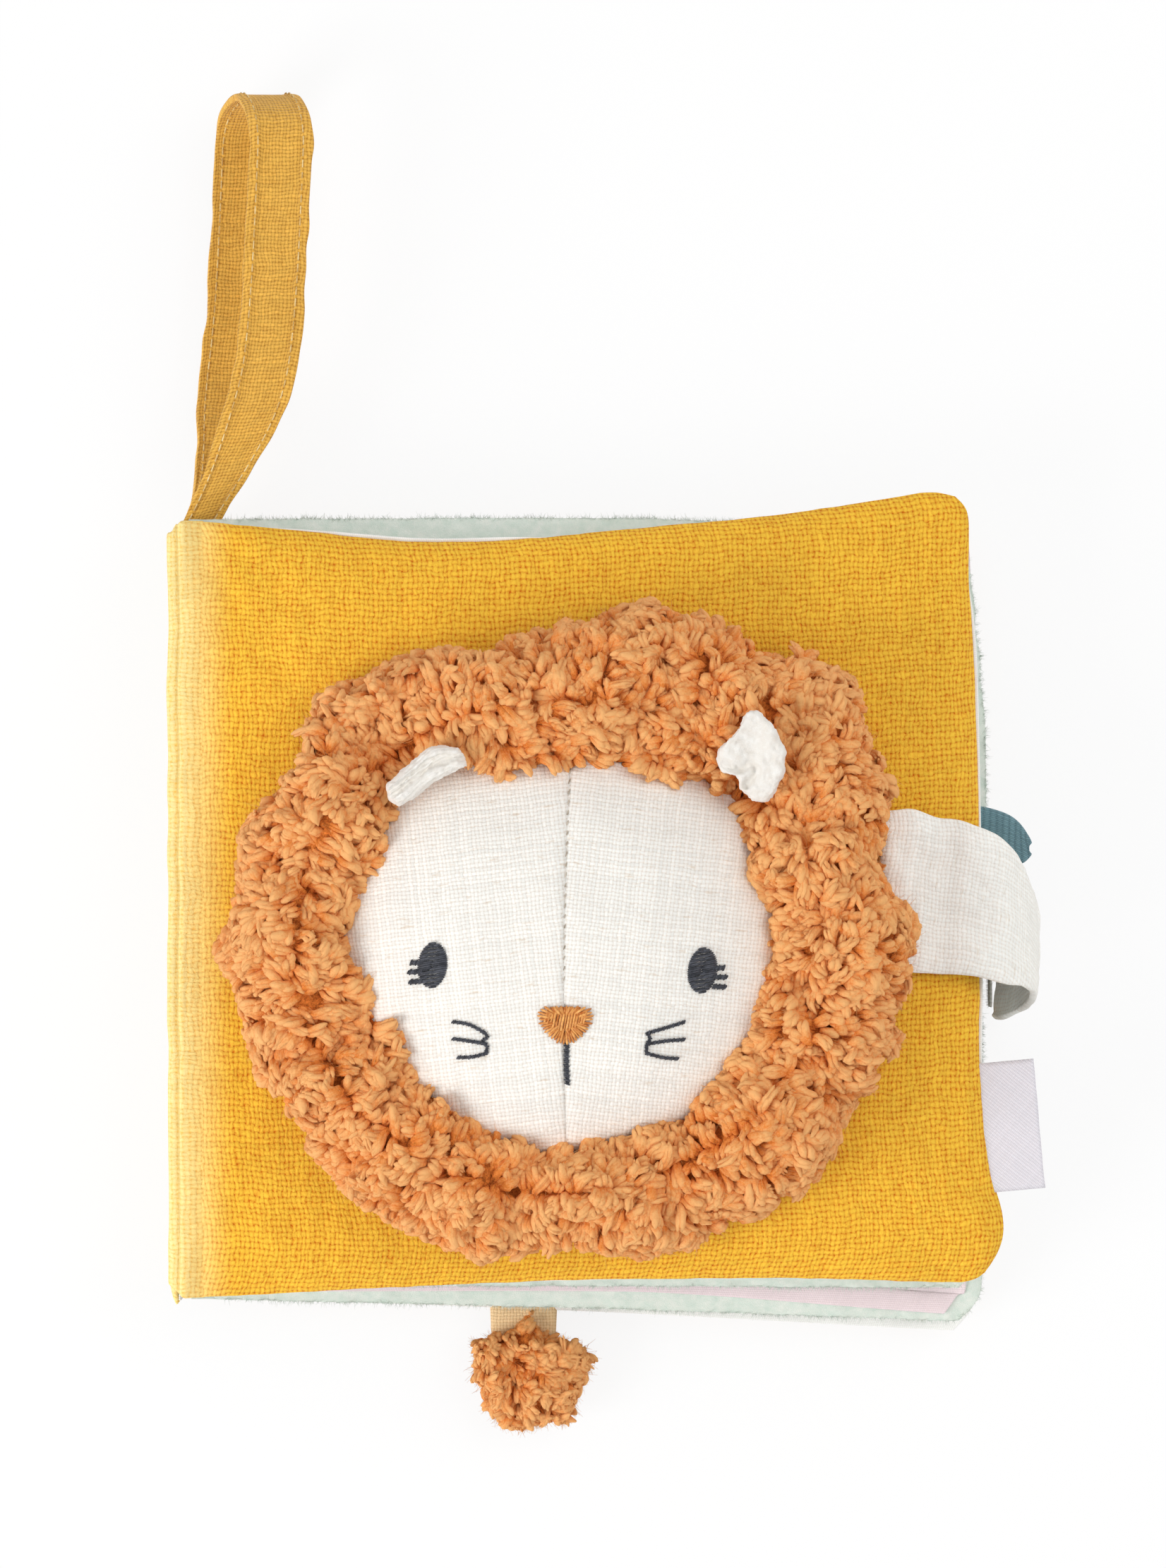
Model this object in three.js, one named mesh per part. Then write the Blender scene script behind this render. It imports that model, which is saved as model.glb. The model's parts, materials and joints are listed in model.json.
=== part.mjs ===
// A soft first book, closed and lying on its back cover, in millimetres.
// +X runs from the spine to the fore edge, +Y to the head of the book and +Z out of the front cover.
// The origin is on the underside of the back cover, on its flat.
import * as THREE from 'three';

// Cloth and clearances
const gap = 0.3;
const seatGap = 0.5;
const gauzeThick = 0.8;
const plushThick = 1.2;
const filmThick = 0.4;
const weld = 0.001;

// Covers and leaves: reach from the origin, and what each one departs from it by
const foreReach = 78;
const headReach = 76;
const footReach = 73.5;
const hingeX = -75.5;
const hingeGap = 1.2;
const rootGap = 0.6;
const cornerRadius = 8;
const frontHeadRise = 5.5;
const frontForeFlare = 3.5;
const frontForeTrim = 2.5;
const frontFootTrim = 2.5;
const frontHeadDraw = 6.5;
const frontDraw = 2;
const leafDraw = 0.7;
const leafHeadTrim = 3.5;
const headTrimPower = 6;
const leafOneTrim = 2;
const leafTwoDroop = 4.5;
const backDroop = 7;

// Pads, from the seam to the crown
const frontCrown = 7;
const backCrown = 5;
const liningCrown = 2.2;
const leafCrown = 2.2;
const crownFlatShare = 0.95;
const crownPower = 6;
const crownRoundShare = 0.6;
const padInsetShare = 0.9;
const fillShare = 0.88;

// Spine
const spineOut = 2.1;
const spineIn = 0.6;
const spineEndGap = 1.1;

// Stuffed head
const headX = -2.7;
const headY = -4.4;
const headHalfWide = 46;
const headHalfHigh = 42.5;
const headRise = 24;
const goreThick = 1.2;
const stuffGap = 0.9;

// Mane
const maneX = -0.9;
const maneY = -3.2;
const maneHalfWide = 63.5;
const maneHalfHigh = 60;
const maneHeight = 17;
const maneGap = 0.9;
const maneLumps = 14;
const ruffleDriftShare = 1.3;
const heaveDriftShare = 2;
const maneRuffleShare = 0.08;
const maneHeaveShare = 0.1;
const maneLipShares = [0.3, 0.17, 0.06];
// How much broader than its plain ring the mane is, at even turns from +X
const maneBroadShares = [
  0.04, 0, 0.29, 0.4, 0.26, 0.14, -0.05, -0.4, 0.02, 0.02, -0.18, -0.07,
  0, -0.07, -0.1, -0.1, 0.08, -0.06, -0.16, -0.07, 0.08, 0, -0.1, -0.07,
];
const liftRun = 3.5;

// Ears: where each one leaves the head, in turns and as a share of the head's radius, the turn that
// it points to, how long it is and how steeply it stands
const ears = {
  left: { turnShare: 0.357, rootShare: 0.84, aimShare: 0.357, long: 13, slope: 0.65 },
  right: { turnShare: 0.124, rootShare: 0.93, aimShare: 0.17, long: 17, slope: 0.45 },
};
const earTipShare = 0.92;
const earWide = 11;
const earThick = 2.2;
const earCup = 2.2;
const earSeat = 0.9;
const earNotchShare = 0.034;
const notchDipShare = 0.45;
const notchLipShare = 0.7;

// Closure strap and its patches
const strapWide = 30;
const strapEndWide = 17;
const strapTaperShares = [0.2, 0.65];
const strapThick = 1.6;
const strapMargin = 6.4;
const strapRootLong = 14;
const strapY = 5;
const strapSkew = 16;
const strapSkewPower = 1.4;
const strapBulge = 10.2;
const strapEndZ = 2.6;
const strapOutShares = [[0, 1], [0.3, 1.01], [0.62, 0.94], [0.88, 0.78], [1, 0.55]];
const strapBackShares = [[0.14, 0.3], [0.62, 0.13], [1, 0]];
const patchThick = 1.43;
const patchTall = 6;
const patchWide = 13;

// Woven tab, label, tail and hanging loop
const tabWide = 11;
const tabLong = 6.5;
const tabY = 17.5;
const tabTurnShare = -0.3;
const tabThick = 1.4;
const labelWide = 25;
const labelLong = 8.6;
const labelY = -38;
const labelTurnShare = 0.09;
const labelThick = 0.4;
const labelFold = 0.9;
const labelBendShare = 0.2;
const flapGap = 0.9;
const tailX = -10;
const tailWide = 13;
const tailLong = 2.4;
const tailThick = 1.6;
const tuftHalfWide = 11.5;
const tuftHalfLong = 9.6;
const tuftHalfTall = 6.2;
const tuftLumpShare = 0.07;
const tuftLumps = 5;
const loopWide = 12;
const loopPinch = 5.5;
const loopThick = 1.8;
const loopLong = 80.8;
const loopLowZ = 4;
const loopHighZ = 24;
const loopRootX = -72.6;
const loopRunShare = 0.42;
const loopRootZ = 16;
const loopDrift = 12.6;
const loopSpread = 8;
const loopRootGap = 2.6;
const loopOpenShare = 0.45;
const loopWidenShare = 0.35;
const loopLeanShare = 0.75;
const loopLeanPower = 4;

// Embroidery, placed from the middle of the face
const stitchThick = 0.7;
const eyeWide = 5.6;
const eyeHigh = 8.4;
const eyeLash = 1.6;
const eyeApart = 50;
const eyeY = -4;
const noseWide = 10.4;
const noseHigh = 6.6;
const noseY = -14.6;
const mouthWide = 1.3;
const mouthLong = 7.6;
const whiskerLong = 6;
const whiskerThick = 0.9;
const whiskerPitch = 3.1;
const whiskerApart = 29;
const whiskerY = -18;

// Counts of facets
const skinSteps = 12;
const fillSteps = 6;
const spineSteps = 8;
const goreSteps = 8;
const goreColumns = 14;
const maneTurns = 84;
const ribbonSteps = 18;
const loopSteps = 44;
const tuftSteps = 12;

// Colours
const mustard = 0xedb433;
const ochre = 0xdfaa48;
const cotton = 0xf4f2ee;
const mint = 0xc8dacd;
const pink = 0xe9d9db;
const teal = 0x6c93a0;
const oatmeal = 0xe8e0d5;
const rust = 0xc98044;
const tan = 0xd2b182;
const charcoal = 0x2f343b;
const nutBrown = 0xa9682a;
const satin = 0xd4cfcb;
const wool = 0xf6f6f2;

// Heights, from the underside up: each seam plane clears the pad below it by one gap
const backSeamZ = gap / 2 + backCrown * crownFlatShare + gauzeThick;
const liningHalf = gap / 2 + liningCrown * crownFlatShare + gauzeThick;
const leafHalf = gap / 2 + leafCrown * crownFlatShare + plushThick;
const leafTwoZ = backSeamZ + liningHalf + gap + leafHalf;
const leafOneZ = leafTwoZ + leafHalf + gap + leafHalf;
const frontSeamZ = leafOneZ + leafHalf + gap + liningHalf;
const frontTopZ = frontSeamZ + gap / 2 + frontCrown * crownFlatShare + gauzeThick;
const headBaseZ = frontTopZ + gap;
const coverRootX = hingeX + hingeGap;
const leafHingeX = hingeX + spineIn + gap;
const leafRootX = leafHingeX + rootGap;

const book = new THREE.Group();
const vec = (x, y, z) => new THREE.Vector3(x, y, z);
const mix = THREE.MathUtils.lerp;
const clamp = THREE.MathUtils.clamp;
const turnOf = (share) => share * 2 * Math.PI;

function add(name, geometry, color, roughness = 0.95) {
  const material = new THREE.MeshStandardMaterial({ color, roughness, metalness: 0 });
  const mesh = new THREE.Mesh(geometry, material);
  mesh.name = name;
  book.add(mesh);
}

// A closed body from quads. Corners that meet are dropped, and the faces are turned outward.
function closed(quads) {
  const faces = [];
  for (const [a, b, c, d] of quads) {
    for (const [p, q, r] of [[a, b, c], [a, c, d]]) {
      const least = Math.min(p.distanceTo(q), q.distanceTo(r), r.distanceTo(p));
      if (least > weld) faces.push([p, q, r]);
    }
  }
  const volume = faces.reduce((sum, [p, q, r]) => sum + p.dot(q.clone().cross(r)), 0);
  const outward = volume < 0 ? faces.map(([p, q, r]) => [p, r, q]) : faces;
  return new THREE.BufferGeometry().setFromPoints(outward.flat());
}

// A sheet between an upper and a lower surface over shares s and t, closed by four walls.
function sheet(rows, columns, upper, lower) {
  const grid = (surface) => Array.from({ length: rows + 1 }, (_, i) =>
    Array.from({ length: columns + 1 }, (_, j) => surface(i / rows, j / columns)));
  const top = grid(upper);
  const under = grid(lower);
  const quads = [];
  for (let i = 0; i < rows; i++) {
    for (let j = 0; j < columns; j++) {
      quads.push([top[i][j], top[i + 1][j], top[i + 1][j + 1], top[i][j + 1]]);
      quads.push([under[i][j], under[i][j + 1], under[i + 1][j + 1], under[i + 1][j]]);
    }
    quads.push([top[i][0], under[i][0], under[i + 1][0], top[i + 1][0]]);
    quads.push([top[i][columns], top[i + 1][columns], under[i + 1][columns], under[i][columns]]);
  }
  for (let j = 0; j < columns; j++) {
    quads.push([top[0][j], top[0][j + 1], under[0][j + 1], under[0][j]]);
    quads.push([top[rows][j], under[rows][j], under[rows][j + 1], top[rows][j + 1]]);
  }
  return closed(quads);
}

// A body round an upright axis: point(turn, share) goes round with turn and along the section.
function revolved(turns, steps, point) {
  const at = (i, j) => point((i % turns) / turns, j / steps);
  const quads = [];
  for (let i = 0; i < turns; i++) {
    for (let j = 0; j < steps; j++) {
      quads.push([at(i, j), at(i + 1, j), at(i + 1, j + 1), at(i, j + 1)]);
    }
  }
  return closed(quads);
}

// A flat ribbon along a route, with its width along side(share).
function ribbon(steps, route, side, widthAt, thick) {
  const step = 1 / (steps * steps);
  const place = (s, t, out) => {
    const along = route(Math.min(1, s + step)).sub(route(Math.max(0, s - step)));
    const wide = side(s).normalize();
    const normal = along.cross(wide).normalize();
    return route(s).addScaledVector(wide, (t - 0.5) * widthAt(s)).addScaledVector(normal, out);
  };
  return sheet(steps, 2, (s, t) => place(s, t, thick / 2), (s, t) => place(s, t, -thick / 2));
}

// The plan of a pad over u and v from -1 to 1: four corners, edges drawn in, outer corners rounded.
function planOf({
  root, foreHead, foreFoot, head, foreHeadRise = 0, foot, foreFootDrop = 0, draw, headDraw, headTrim = 0,
}) {
  const roundShare = cornerRadius / foreReach;
  const beyond = (value) => Math.max(0, (Math.abs(value) - 1 + roundShare) / roundShare);
  return (uIn, vIn) => {
    const a = uIn > 0 ? beyond(uIn) : 0;
    const b = uIn > 0 ? beyond(vIn) : 0;
    const u = uIn - roundShare * a * (1 - Math.sqrt(1 - b * b / 2));
    const v = vIn - Math.sign(vIn) * roundShare * b * (1 - Math.sqrt(1 - a * a / 2));
    const out = (1 + u) / 2;
    const up = (1 + v) / 2;
    const trim = draw * (1 - v * v) + headTrim * up ** headTrimPower;
    const x = mix(root, mix(foreFoot, foreHead, up), out) - trim * out * out;
    const y = mix(foot - foreFootDrop * out, head + foreHeadRise * out, up)
      + (draw * (1 - up) ** 2 - headDraw * up * up) * (1 - u * u);
    return { x, y };
  };
}

const swell = (value) => 1 - Math.abs(value) ** crownPower;
const crown = (u, v) => Math.min(crownFlatShare, Math.max(0, swell(u) * swell(v)) ** crownRoundShare);
const crowd = (share) => Math.sin((share - 0.5) * Math.PI);

// One layer of a pad between two heights over u and v, held in from the seam by an inset share.
function layer(plan, steps, inset, upper, lower) {
  const surface = (height) => (s, t) => {
    const u = crowd(s) * inset;
    const v = crowd(t) * inset;
    const { x, y } = plan(u, v);
    return vec(x, y, height(u, v));
  };
  return sheet(steps, steps, surface(upper), surface(lower));
}

// A pad is two skins, wadding and a film that crinkles, all following the same two crowns.
function addPad(name, plan, seamZ, up, down) {
  const rise = (u, v) => seamZ + gap / 2 + up.crown * crown(u, v);
  const fall = (u, v) => seamZ - gap / 2 - down.crown * crown(u, v);
  const fillTop = (u, v) => seamZ + fillShare * up.crown * crown(u, v) - gap / 2;
  const filmUnder = (u, v) => seamZ - fillShare * down.crown * crown(u, v) + gap / 2;
  const filmTop = (u, v) => filmUnder(u, v) + filmThick;
  add(`${name}_${up.face}`, layer(plan, skinSteps, 1, (u, v) => rise(u, v) + up.thick, rise), up.color);
  add(`${name}_${down.face}`, layer(plan, skinSteps, 1, fall, (u, v) => fall(u, v) - down.thick), down.color);
  add(`${name}_crinkle_film`, layer(plan, fillSteps, padInsetShare, filmTop, filmUnder), cotton, 0.3);
  add(`${name}_wadding`,
    layer(plan, fillSteps, padInsetShare, fillTop, (u, v) => filmTop(u, v) + gap), wool);
}

// Where a plan point lies in u and v, found by stepping towards it.
function overPlan(plan, height) {
  const passes = 14;
  return (x, y) => {
    let u = 0;
    let v = 0;
    for (let pass = 0; pass < passes; pass++) {
      const at = plan(u, v);
      u = clamp(u + (x - at.x) / foreReach, -1, 1);
      v = clamp(v + (y - at.y) / headReach, -1, 1);
    }
    return height(u, v);
  };
}

const frontPlan = planOf({
  root: coverRootX,
  foreHead: foreReach - frontForeTrim,
  foreFoot: foreReach + frontForeFlare,
  head: headReach,
  foreHeadRise: frontHeadRise,
  foot: frontFootTrim - footReach,
  foreFootDrop: -frontFootTrim,
  draw: frontDraw,
  headDraw: frontHeadDraw,
});
const leafPlan = (foot, foreFootDrop) => planOf({
  root: leafRootX, foreHead: foreReach, foreFoot: foreReach, head: headReach, foot, foreFootDrop,
  draw: leafDraw, headDraw: leafDraw, headTrim: leafHeadTrim,
});
const leafOnePlan = leafPlan(leafOneTrim - footReach, 0);
const leafTwoPlan = leafPlan(leafDraw - footReach, leafTwoDroop);
const backPlan = planOf({
  root: coverRootX, foreHead: foreReach, foreFoot: foreReach, head: headReach,
  foot: -footReach, foreFootDrop: backDroop, draw: leafDraw, headDraw: leafDraw,
});
const gauze = (crownHeight) => ({ face: 'gauze', crown: crownHeight, thick: gauzeThick, color: mustard });
const lining = { face: 'lining', crown: liningCrown, thick: gauzeThick, color: cotton };
const page = (face, color) => ({ face, crown: leafCrown, thick: plushThick, color });

addPad('back_cover', backPlan, backSeamZ, lining, gauze(backCrown));
addPad('leaf_two', leafTwoPlan, leafTwoZ, page('pink_face', pink), page('mint_back', mint));
addPad('leaf_one', leafOnePlan, leafOneZ, page('mint_face', mint), page('mint_back', mint));
addPad('front_cover', frontPlan, frontSeamZ, gauze(frontCrown), lining);

const frontTop = overPlan(frontPlan, (u, v) => frontSeamZ + gap / 2 + frontCrown * crown(u, v) + gauzeThick);

// The spine stands between the covers' seams: an outer strip that bulges, its wadding and its lining.
function addSpine(name, outer, inner, outBulge, inBulge, color) {
  const low = backSeamZ + spineEndGap;
  const high = frontSeamZ - spineEndGap;
  const face = (x, bulge) => (s, t) => vec(
    x - bulge * Math.sin(Math.PI * t), mix(-footReach, headReach, s), mix(low, high, t));
  add(name, sheet(spineSteps, spineSteps, face(inner, inBulge), face(outer, outBulge)), color);
}
const spineInner = hingeX + spineIn;
const spineOuter = hingeX - spineOut / 2;
const spineCurve = spineOut / 2;
addSpine('spine_lining', spineInner - gauzeThick / 2, spineInner, 0, 0, cotton);
addSpine('spine_gauze', spineOuter, spineOuter + gauzeThick, spineCurve, spineCurve, mustard);
addSpine('spine_wadding', spineOuter + gauzeThick + gap, spineInner - gauzeThick / 2 - gap / 2,
  spineCurve, 0, wool);

// The head is two gores that meet on a seam, round the stuffing.
function domeZ(x, y) {
  const reach = Math.hypot((x - headX) / headHalfWide, (y - headY) / headHalfHigh);
  return headBaseZ + headRise * Math.sqrt(Math.max(0, 1 - reach * reach));
}
function gore(hand) {
  const surface = (inward) => (s, t) => {
    const reach = Math.sin(s * Math.PI / 2);
    const turn = (t - 0.5) * Math.PI;
    const x = headX + hand * (gap / 2 + (headHalfWide - gap / 2 - inward) * reach * Math.cos(turn));
    const y = headY + (headHalfHigh - inward) * reach * Math.sin(turn);
    return vec(x, y, headBaseZ + (headRise - inward) * Math.cos(s * Math.PI / 2));
  };
  return sheet(goreSteps, goreColumns, surface(0), surface(goreThick));
}
add('face_gore_left', gore(-1), oatmeal);
add('face_gore_right', gore(1), oatmeal);
add('head_stuffing', revolved(2 * goreColumns, goreSteps, (turn, share) => {
  const inward = goreThick + stuffGap;
  const edgeShare = (goreSteps - 1) / goreSteps;
  const dome = Math.min(1, share / edgeShare) * Math.PI / 2;
  const reach = share > edgeShare ? 0 : Math.sin(dome);
  return vec(
    headX + (headHalfWide - inward) * reach * Math.cos(turnOf(turn)),
    headY + (headHalfHigh - inward) * reach * Math.sin(turnOf(turn)),
    headBaseZ + (headRise - inward) * Math.cos(dome));
}), wool);

// The mane is one ruffled ring. Its inner side follows the head, and its underside follows the
// cover and the strap's sewn end. It dips where an ear leaves the head.
const notchAt = (turn) => Math.max(...Object.values(ears)
  .map((ear) => Math.exp(-(((turn - ear.turnShare) / earNotchShare) ** 2))));
const turns = maneBroadShares.length;
function broadAt(turn) {
  const place = turn * turns;
  const from = maneBroadShares[Math.floor(place) % turns];
  const to = maneBroadShares[(Math.floor(place) + 1) % turns];
  return mix(from, to, THREE.MathUtils.smoothstep(place % 1, 0, 1));
}
const ruffleAt = (turn) => Math.cos(turnOf(maneLumps * turn) + ruffleDriftShare * Math.sin(turnOf(2 * turn)));
const heaveAt = (turn) => Math.cos(turnOf(maneLumps * turn) + heaveDriftShare * Math.sin(turnOf(3 * turn)));
const strapHingeX = maneX + maneHalfWide + strapMargin;
const strapRootX = strapHingeX - strapRootLong;
function maneFloor(x, y) {
  const inside = THREE.MathUtils.smoothstep(x, strapRootX - 2 * liftRun, strapRootX - liftRun);
  const beside = Math.abs(y - strapY) - strapWide / 2;
  const lift = inside * (1 - THREE.MathUtils.smoothstep(beside, liftRun, 2 * liftRun));
  return frontTop(x, y) + seatGap + lift * (strapThick + gap);
}
function mane(turn, share) {
  const cos = Math.cos(turnOf(turn));
  const sin = Math.sin(turnOf(turn));
  const notch = notchAt(turn);
  const section = maneSection(notch);
  const index = Math.round(share * section.length) % section.length;
  const { out, tall, lip } = section[index];
  if (lip !== undefined) {
    const slope = lip * (1 - notchLipShare * notch) * Math.PI / 2;
    return vec(
      headX + (headHalfWide + maneGap) * Math.cos(slope) * cos,
      headY + (headHalfHigh + maneGap) * Math.cos(slope) * sin,
      headBaseZ + (headRise + maneGap) * Math.sin(slope));
  }
  const wide = out * (1 + out * (maneRuffleShare * ruffleAt(turn) + broadAt(turn)));
  const x = mix(headX + headHalfWide * cos, maneX + maneHalfWide * cos, wide);
  const y = mix(headY + headHalfHigh * sin, maneY + maneHalfHigh * sin, wide);
  const rise = maneHeight * tall * (1 + maneHeaveShare * heaveAt(turn));
  return vec(x, y, maneFloor(x, y) + rise);
}
function maneSection(notch) {
  const dip = 1 - notchDipShare * notch;
  return [
    { out: 0.08, tall: 0 },
    { out: 0.5, tall: 0 },
    { out: 0.9, tall: 0.05 },
    { out: 1, tall: 0.4 },
    { out: 0.88, tall: 0.8 },
    { out: 0.5, tall: dip },
    { out: 0.1, tall: 0.97 * dip },
    { out: mix(-0.12, 0.02, notch), tall: 0.86 * dip },
    ...maneLipShares.map((lip) => ({ lip })),
  ];
}
add('mane', revolved(maneTurns, maneSection(0).length, mane), rust);

// An ear is a cupped leaf of doubled cloth that leaves the head and stands over the mane.
function ear({ turnShare, rootShare, aimShare, long, slope }) {
  const side = vec(-Math.sin(turnOf(aimShare)), Math.cos(turnOf(aimShare)), 0);
  const along = vec(side.y, -side.x, slope).normalize();
  const normal = side.clone().cross(along).normalize();
  const x = headX + headHalfWide * rootShare * Math.cos(turnOf(turnShare));
  const y = headY + headHalfHigh * rootShare * Math.sin(turnOf(turnShare));
  const root = vec(x, y, domeZ(x, y) + earSeat);
  const place = (s, t, out) => {
    const wide = earWide * Math.sqrt(1 - earTipShare * s ** 4);
    const across = t - 0.5;
    return root.clone().addScaledVector(along, s * long).addScaledVector(side, across * wide)
      .addScaledVector(normal, Math.sign(normal.z) * (out + earCup * 4 * across * across));
  };
  const half = earThick / 2;
  return sheet(fillSteps, fillSteps, (s, t) => place(s, t, half), (s, t) => place(s, t, -half));
}
add('ear_left', ear(ears.left), cotton);
add('ear_right', ear(ears.right), cotton);

// Embroidery: flat outlines laid on the face.
function embroider(name, points, color) {
  const outline = new THREE.Shape(points.map(([x, y]) => new THREE.Vector2(headX + x, headY + y)));
  const geometry = new THREE.ExtrudeGeometry(outline, { depth: stitchThick, bevelEnabled: false });
  const place = geometry.attributes.position;
  for (let i = 0; i < place.count; i++) {
    place.setZ(i, place.getZ(i) + domeZ(place.getX(i), place.getY(i)) + seatGap);
  }
  add(name, geometry, color, 0.6);
}
const eyePoints = 24;
const lashPoints = [-2, 0, 2];
function eye(hand) {
  return Array.from({ length: eyePoints }, (_, i) => {
    const turn = turnOf(i / eyePoints);
    const fromSide = hand > 0 ? (i > eyePoints / 2 ? i - eyePoints : i) : i - eyePoints / 2;
    const lash = lashPoints.includes(fromSide) ? eyeLash : 0;
    return [
      hand * eyeApart / 2 + (eyeWide / 2 + lash) * Math.cos(turn),
      eyeY + eyeHigh / 2 * Math.sin(turn),
    ];
  });
}
embroider('eye_left', eye(-1), charcoal);
embroider('eye_right', eye(1), charcoal);
const noseShares = [[0, -0.5], [0.2, -0.34], [0.42, 0.02], [0.5, 0.3], [0.4, 0.46], [0.15, 0.5]];
embroider('nose', [...noseShares, ...noseShares.slice(1).reverse().map(([x, y]) => [-x, y])]
  .map(([x, y]) => [x * noseWide, noseY + y * noseHigh]), nutBrown);
const mouthTop = noseY - noseHigh / 2 - gap;
embroider('mouth_line', [[-0.5, 0], [-0.5, -1], [0.5, -1], [0.5, 0]]
  .map(([x, y]) => [x * mouthWide, mouthTop + y * mouthLong]), charcoal);
const whiskerRows = [1, 0, -1];
function whiskers(hand) {
  const inner = hand * whiskerApart / 2;
  const stem = inner + hand * whiskerThick;
  const outer = inner + hand * whiskerLong;
  const points = [[inner, whiskerY + whiskerPitch + whiskerThick / 2]];
  for (const row of whiskerRows) {
    const y = whiskerY + row * whiskerPitch;
    const tipY = y + row * whiskerThick;
    points.push([outer, tipY + whiskerThick / 2], [outer, tipY - whiskerThick / 2]);
    if (row > -1) points.push([stem, y - whiskerThick / 2], [stem, y - whiskerPitch + whiskerThick / 2]);
  }
  points.push([inner, whiskerY - whiskerPitch - whiskerThick / 2]);
  return points;
}
embroider('whiskers_left', whiskers(-1), charcoal);
embroider('whiskers_right', whiskers(1), charcoal);

// The closure strap: a sewn end under the mane, a free part over the fore edge, and two patches.
const strapTopZ = frontTop(strapHingeX, strapY) + seatGap + strapThick / 2;
const strapReachX = foreReach + strapBulge;
const backForeX = backPlan(1, 0).x;
const strapEndX = backForeX + 3 * gap + 2 * patchThick + strapThick / 2;
const strapPoints = [
  ...strapOutShares.map(([x, z]) => [mix(strapHingeX + gap, strapReachX, x), z]),
  ...strapBackShares.map(([x, z]) => [mix(strapReachX, strapEndX, x), z]),
];
const strapRoute = new THREE.CatmullRomCurve3(strapPoints.map(([x, z], i) => {
  const along = i / (strapPoints.length - 1);
  return vec(x, strapY - strapSkew * along ** strapSkewPower, mix(strapEndZ, strapTopZ, z));
}));
const sideY = () => vec(0, 1, 0);
const strapWideAt = (s) => mix(strapWide, strapEndWide, THREE.MathUtils.smoothstep(s, ...strapTaperShares));
const overFore = (s) => strapRoute.getPoint(s);
add('closure_strap', ribbon(ribbonSteps, overFore, sideY, strapWideAt, strapThick), oatmeal);
const underMane = (s) => {
  const x = mix(strapHingeX - gap, strapRootX, s);
  const onCover = frontTop(x, strapY) + seatGap;
  return vec(x, strapY, Math.min(onCover, headBaseZ) + strapThick / 2);
};
add('strap_sewn_end', ribbon(fillSteps, underMane, sideY, () => strapWide, strapThick), oatmeal);
const strapEndY = strapY - strapSkew;
function patch(x, color, name) {
  const box = new THREE.BoxGeometry(patchThick, patchWide, patchTall);
  add(name, box.translate(x + patchThick / 2, strapEndY, backSeamZ), color);
}
patch(backForeX + gap, cotton, 'hook_patch');
patch(backForeX + 2 * gap + patchThick, cotton, 'loop_patch');

// The woven tab on the first leaf, and the bare folded label on the front cover. Each one starts
// clear of its pad's fore edge, along a line that is turned from +Y.
function foreEdge(plan, y) {
  const passes = 8;
  let v = 0;
  for (let pass = 0; pass < passes; pass++) v += (y - plan(1, v).y) / headReach;
  return plan(1, v).x;
}
function flapOn(plan, y, wide, turnedBy, z) {
  const along = vec(Math.cos(turnedBy), Math.sin(turnedBy), 0);
  const side = vec(-Math.sin(turnedBy), Math.cos(turnedBy), 0);
  const starts = [-wide / 2, 0, wide / 2].map((t) => foreEdge(plan, y + side.y * t) - side.x * t);
  return { along, side, start: vec(Math.max(...starts) + flapGap, y, z) };
}
const tab = flapOn(leafOnePlan, tabY, tabWide, 0, leafOneZ);
const tabRoute = (s) => tab.start.clone().add(vec(s * tabLong, s * tabLong * tabTurnShare, 0));
const tabSide = () => tab.side.clone();
add('woven_tab', ribbon(fillSteps, tabRoute, tabSide, () => tabWide, tabThick), teal);
const label = flapOn(frontPlan, labelY, labelWide, labelTurnShare, frontSeamZ);
const labelFolded = (s) => {
  const run = (1 - labelBendShare) / 2;
  const half = labelFold / 2;
  const bend = clamp((s - run) / labelBendShare, 0, 1) * Math.PI;
  const back = Math.max(0, s - run - labelBendShare) / run;
  const reach = Math.min(1, s / run) - back;
  const out = (labelLong - half) * reach + half * Math.sin(bend);
  return label.start.clone().addScaledVector(label.along, out).add(vec(0, 0, -half * Math.cos(bend)));
};
const labelSide = () => label.side.clone();
add('label', ribbon(ribbonSteps, labelFolded, labelSide, () => labelWide, labelThick), satin);

// The tail: a strip from the back cover's foot seam and a tuft.
const tailFoot = backPlan(2 * (tailX - coverRootX) / (foreReach - coverRootX) - 1, -1).y - seatGap;
const sideX = () => vec(1, 0, 0);
const tailRoute = (s) => vec(tailX, tailFoot - s * tailLong, backSeamZ);
add('tail_strip', ribbon(fillSteps, tailRoute, sideX, () => tailWide, tailThick), tan);
const tuftY = tailFoot - tailLong - gap - tuftHalfLong * (1 + tuftLumpShare);
add('tail_tuft', revolved(2 * tuftSteps, tuftSteps, (turn, share) => {
  const polar = share * Math.PI;
  const lumps = 1 + tuftLumpShare * Math.sin(turnOf(tuftLumps * turn)) * Math.sin(polar);
  const wide = Math.sin(polar) * lumps;
  return vec(
    tailX + tuftHalfWide * wide * Math.cos(turnOf(turn)),
    tuftY + tuftHalfLong * wide * Math.sin(turnOf(turn)),
    tuftHalfTall + gap + tuftHalfTall * Math.cos(polar));
}), rust);

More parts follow.
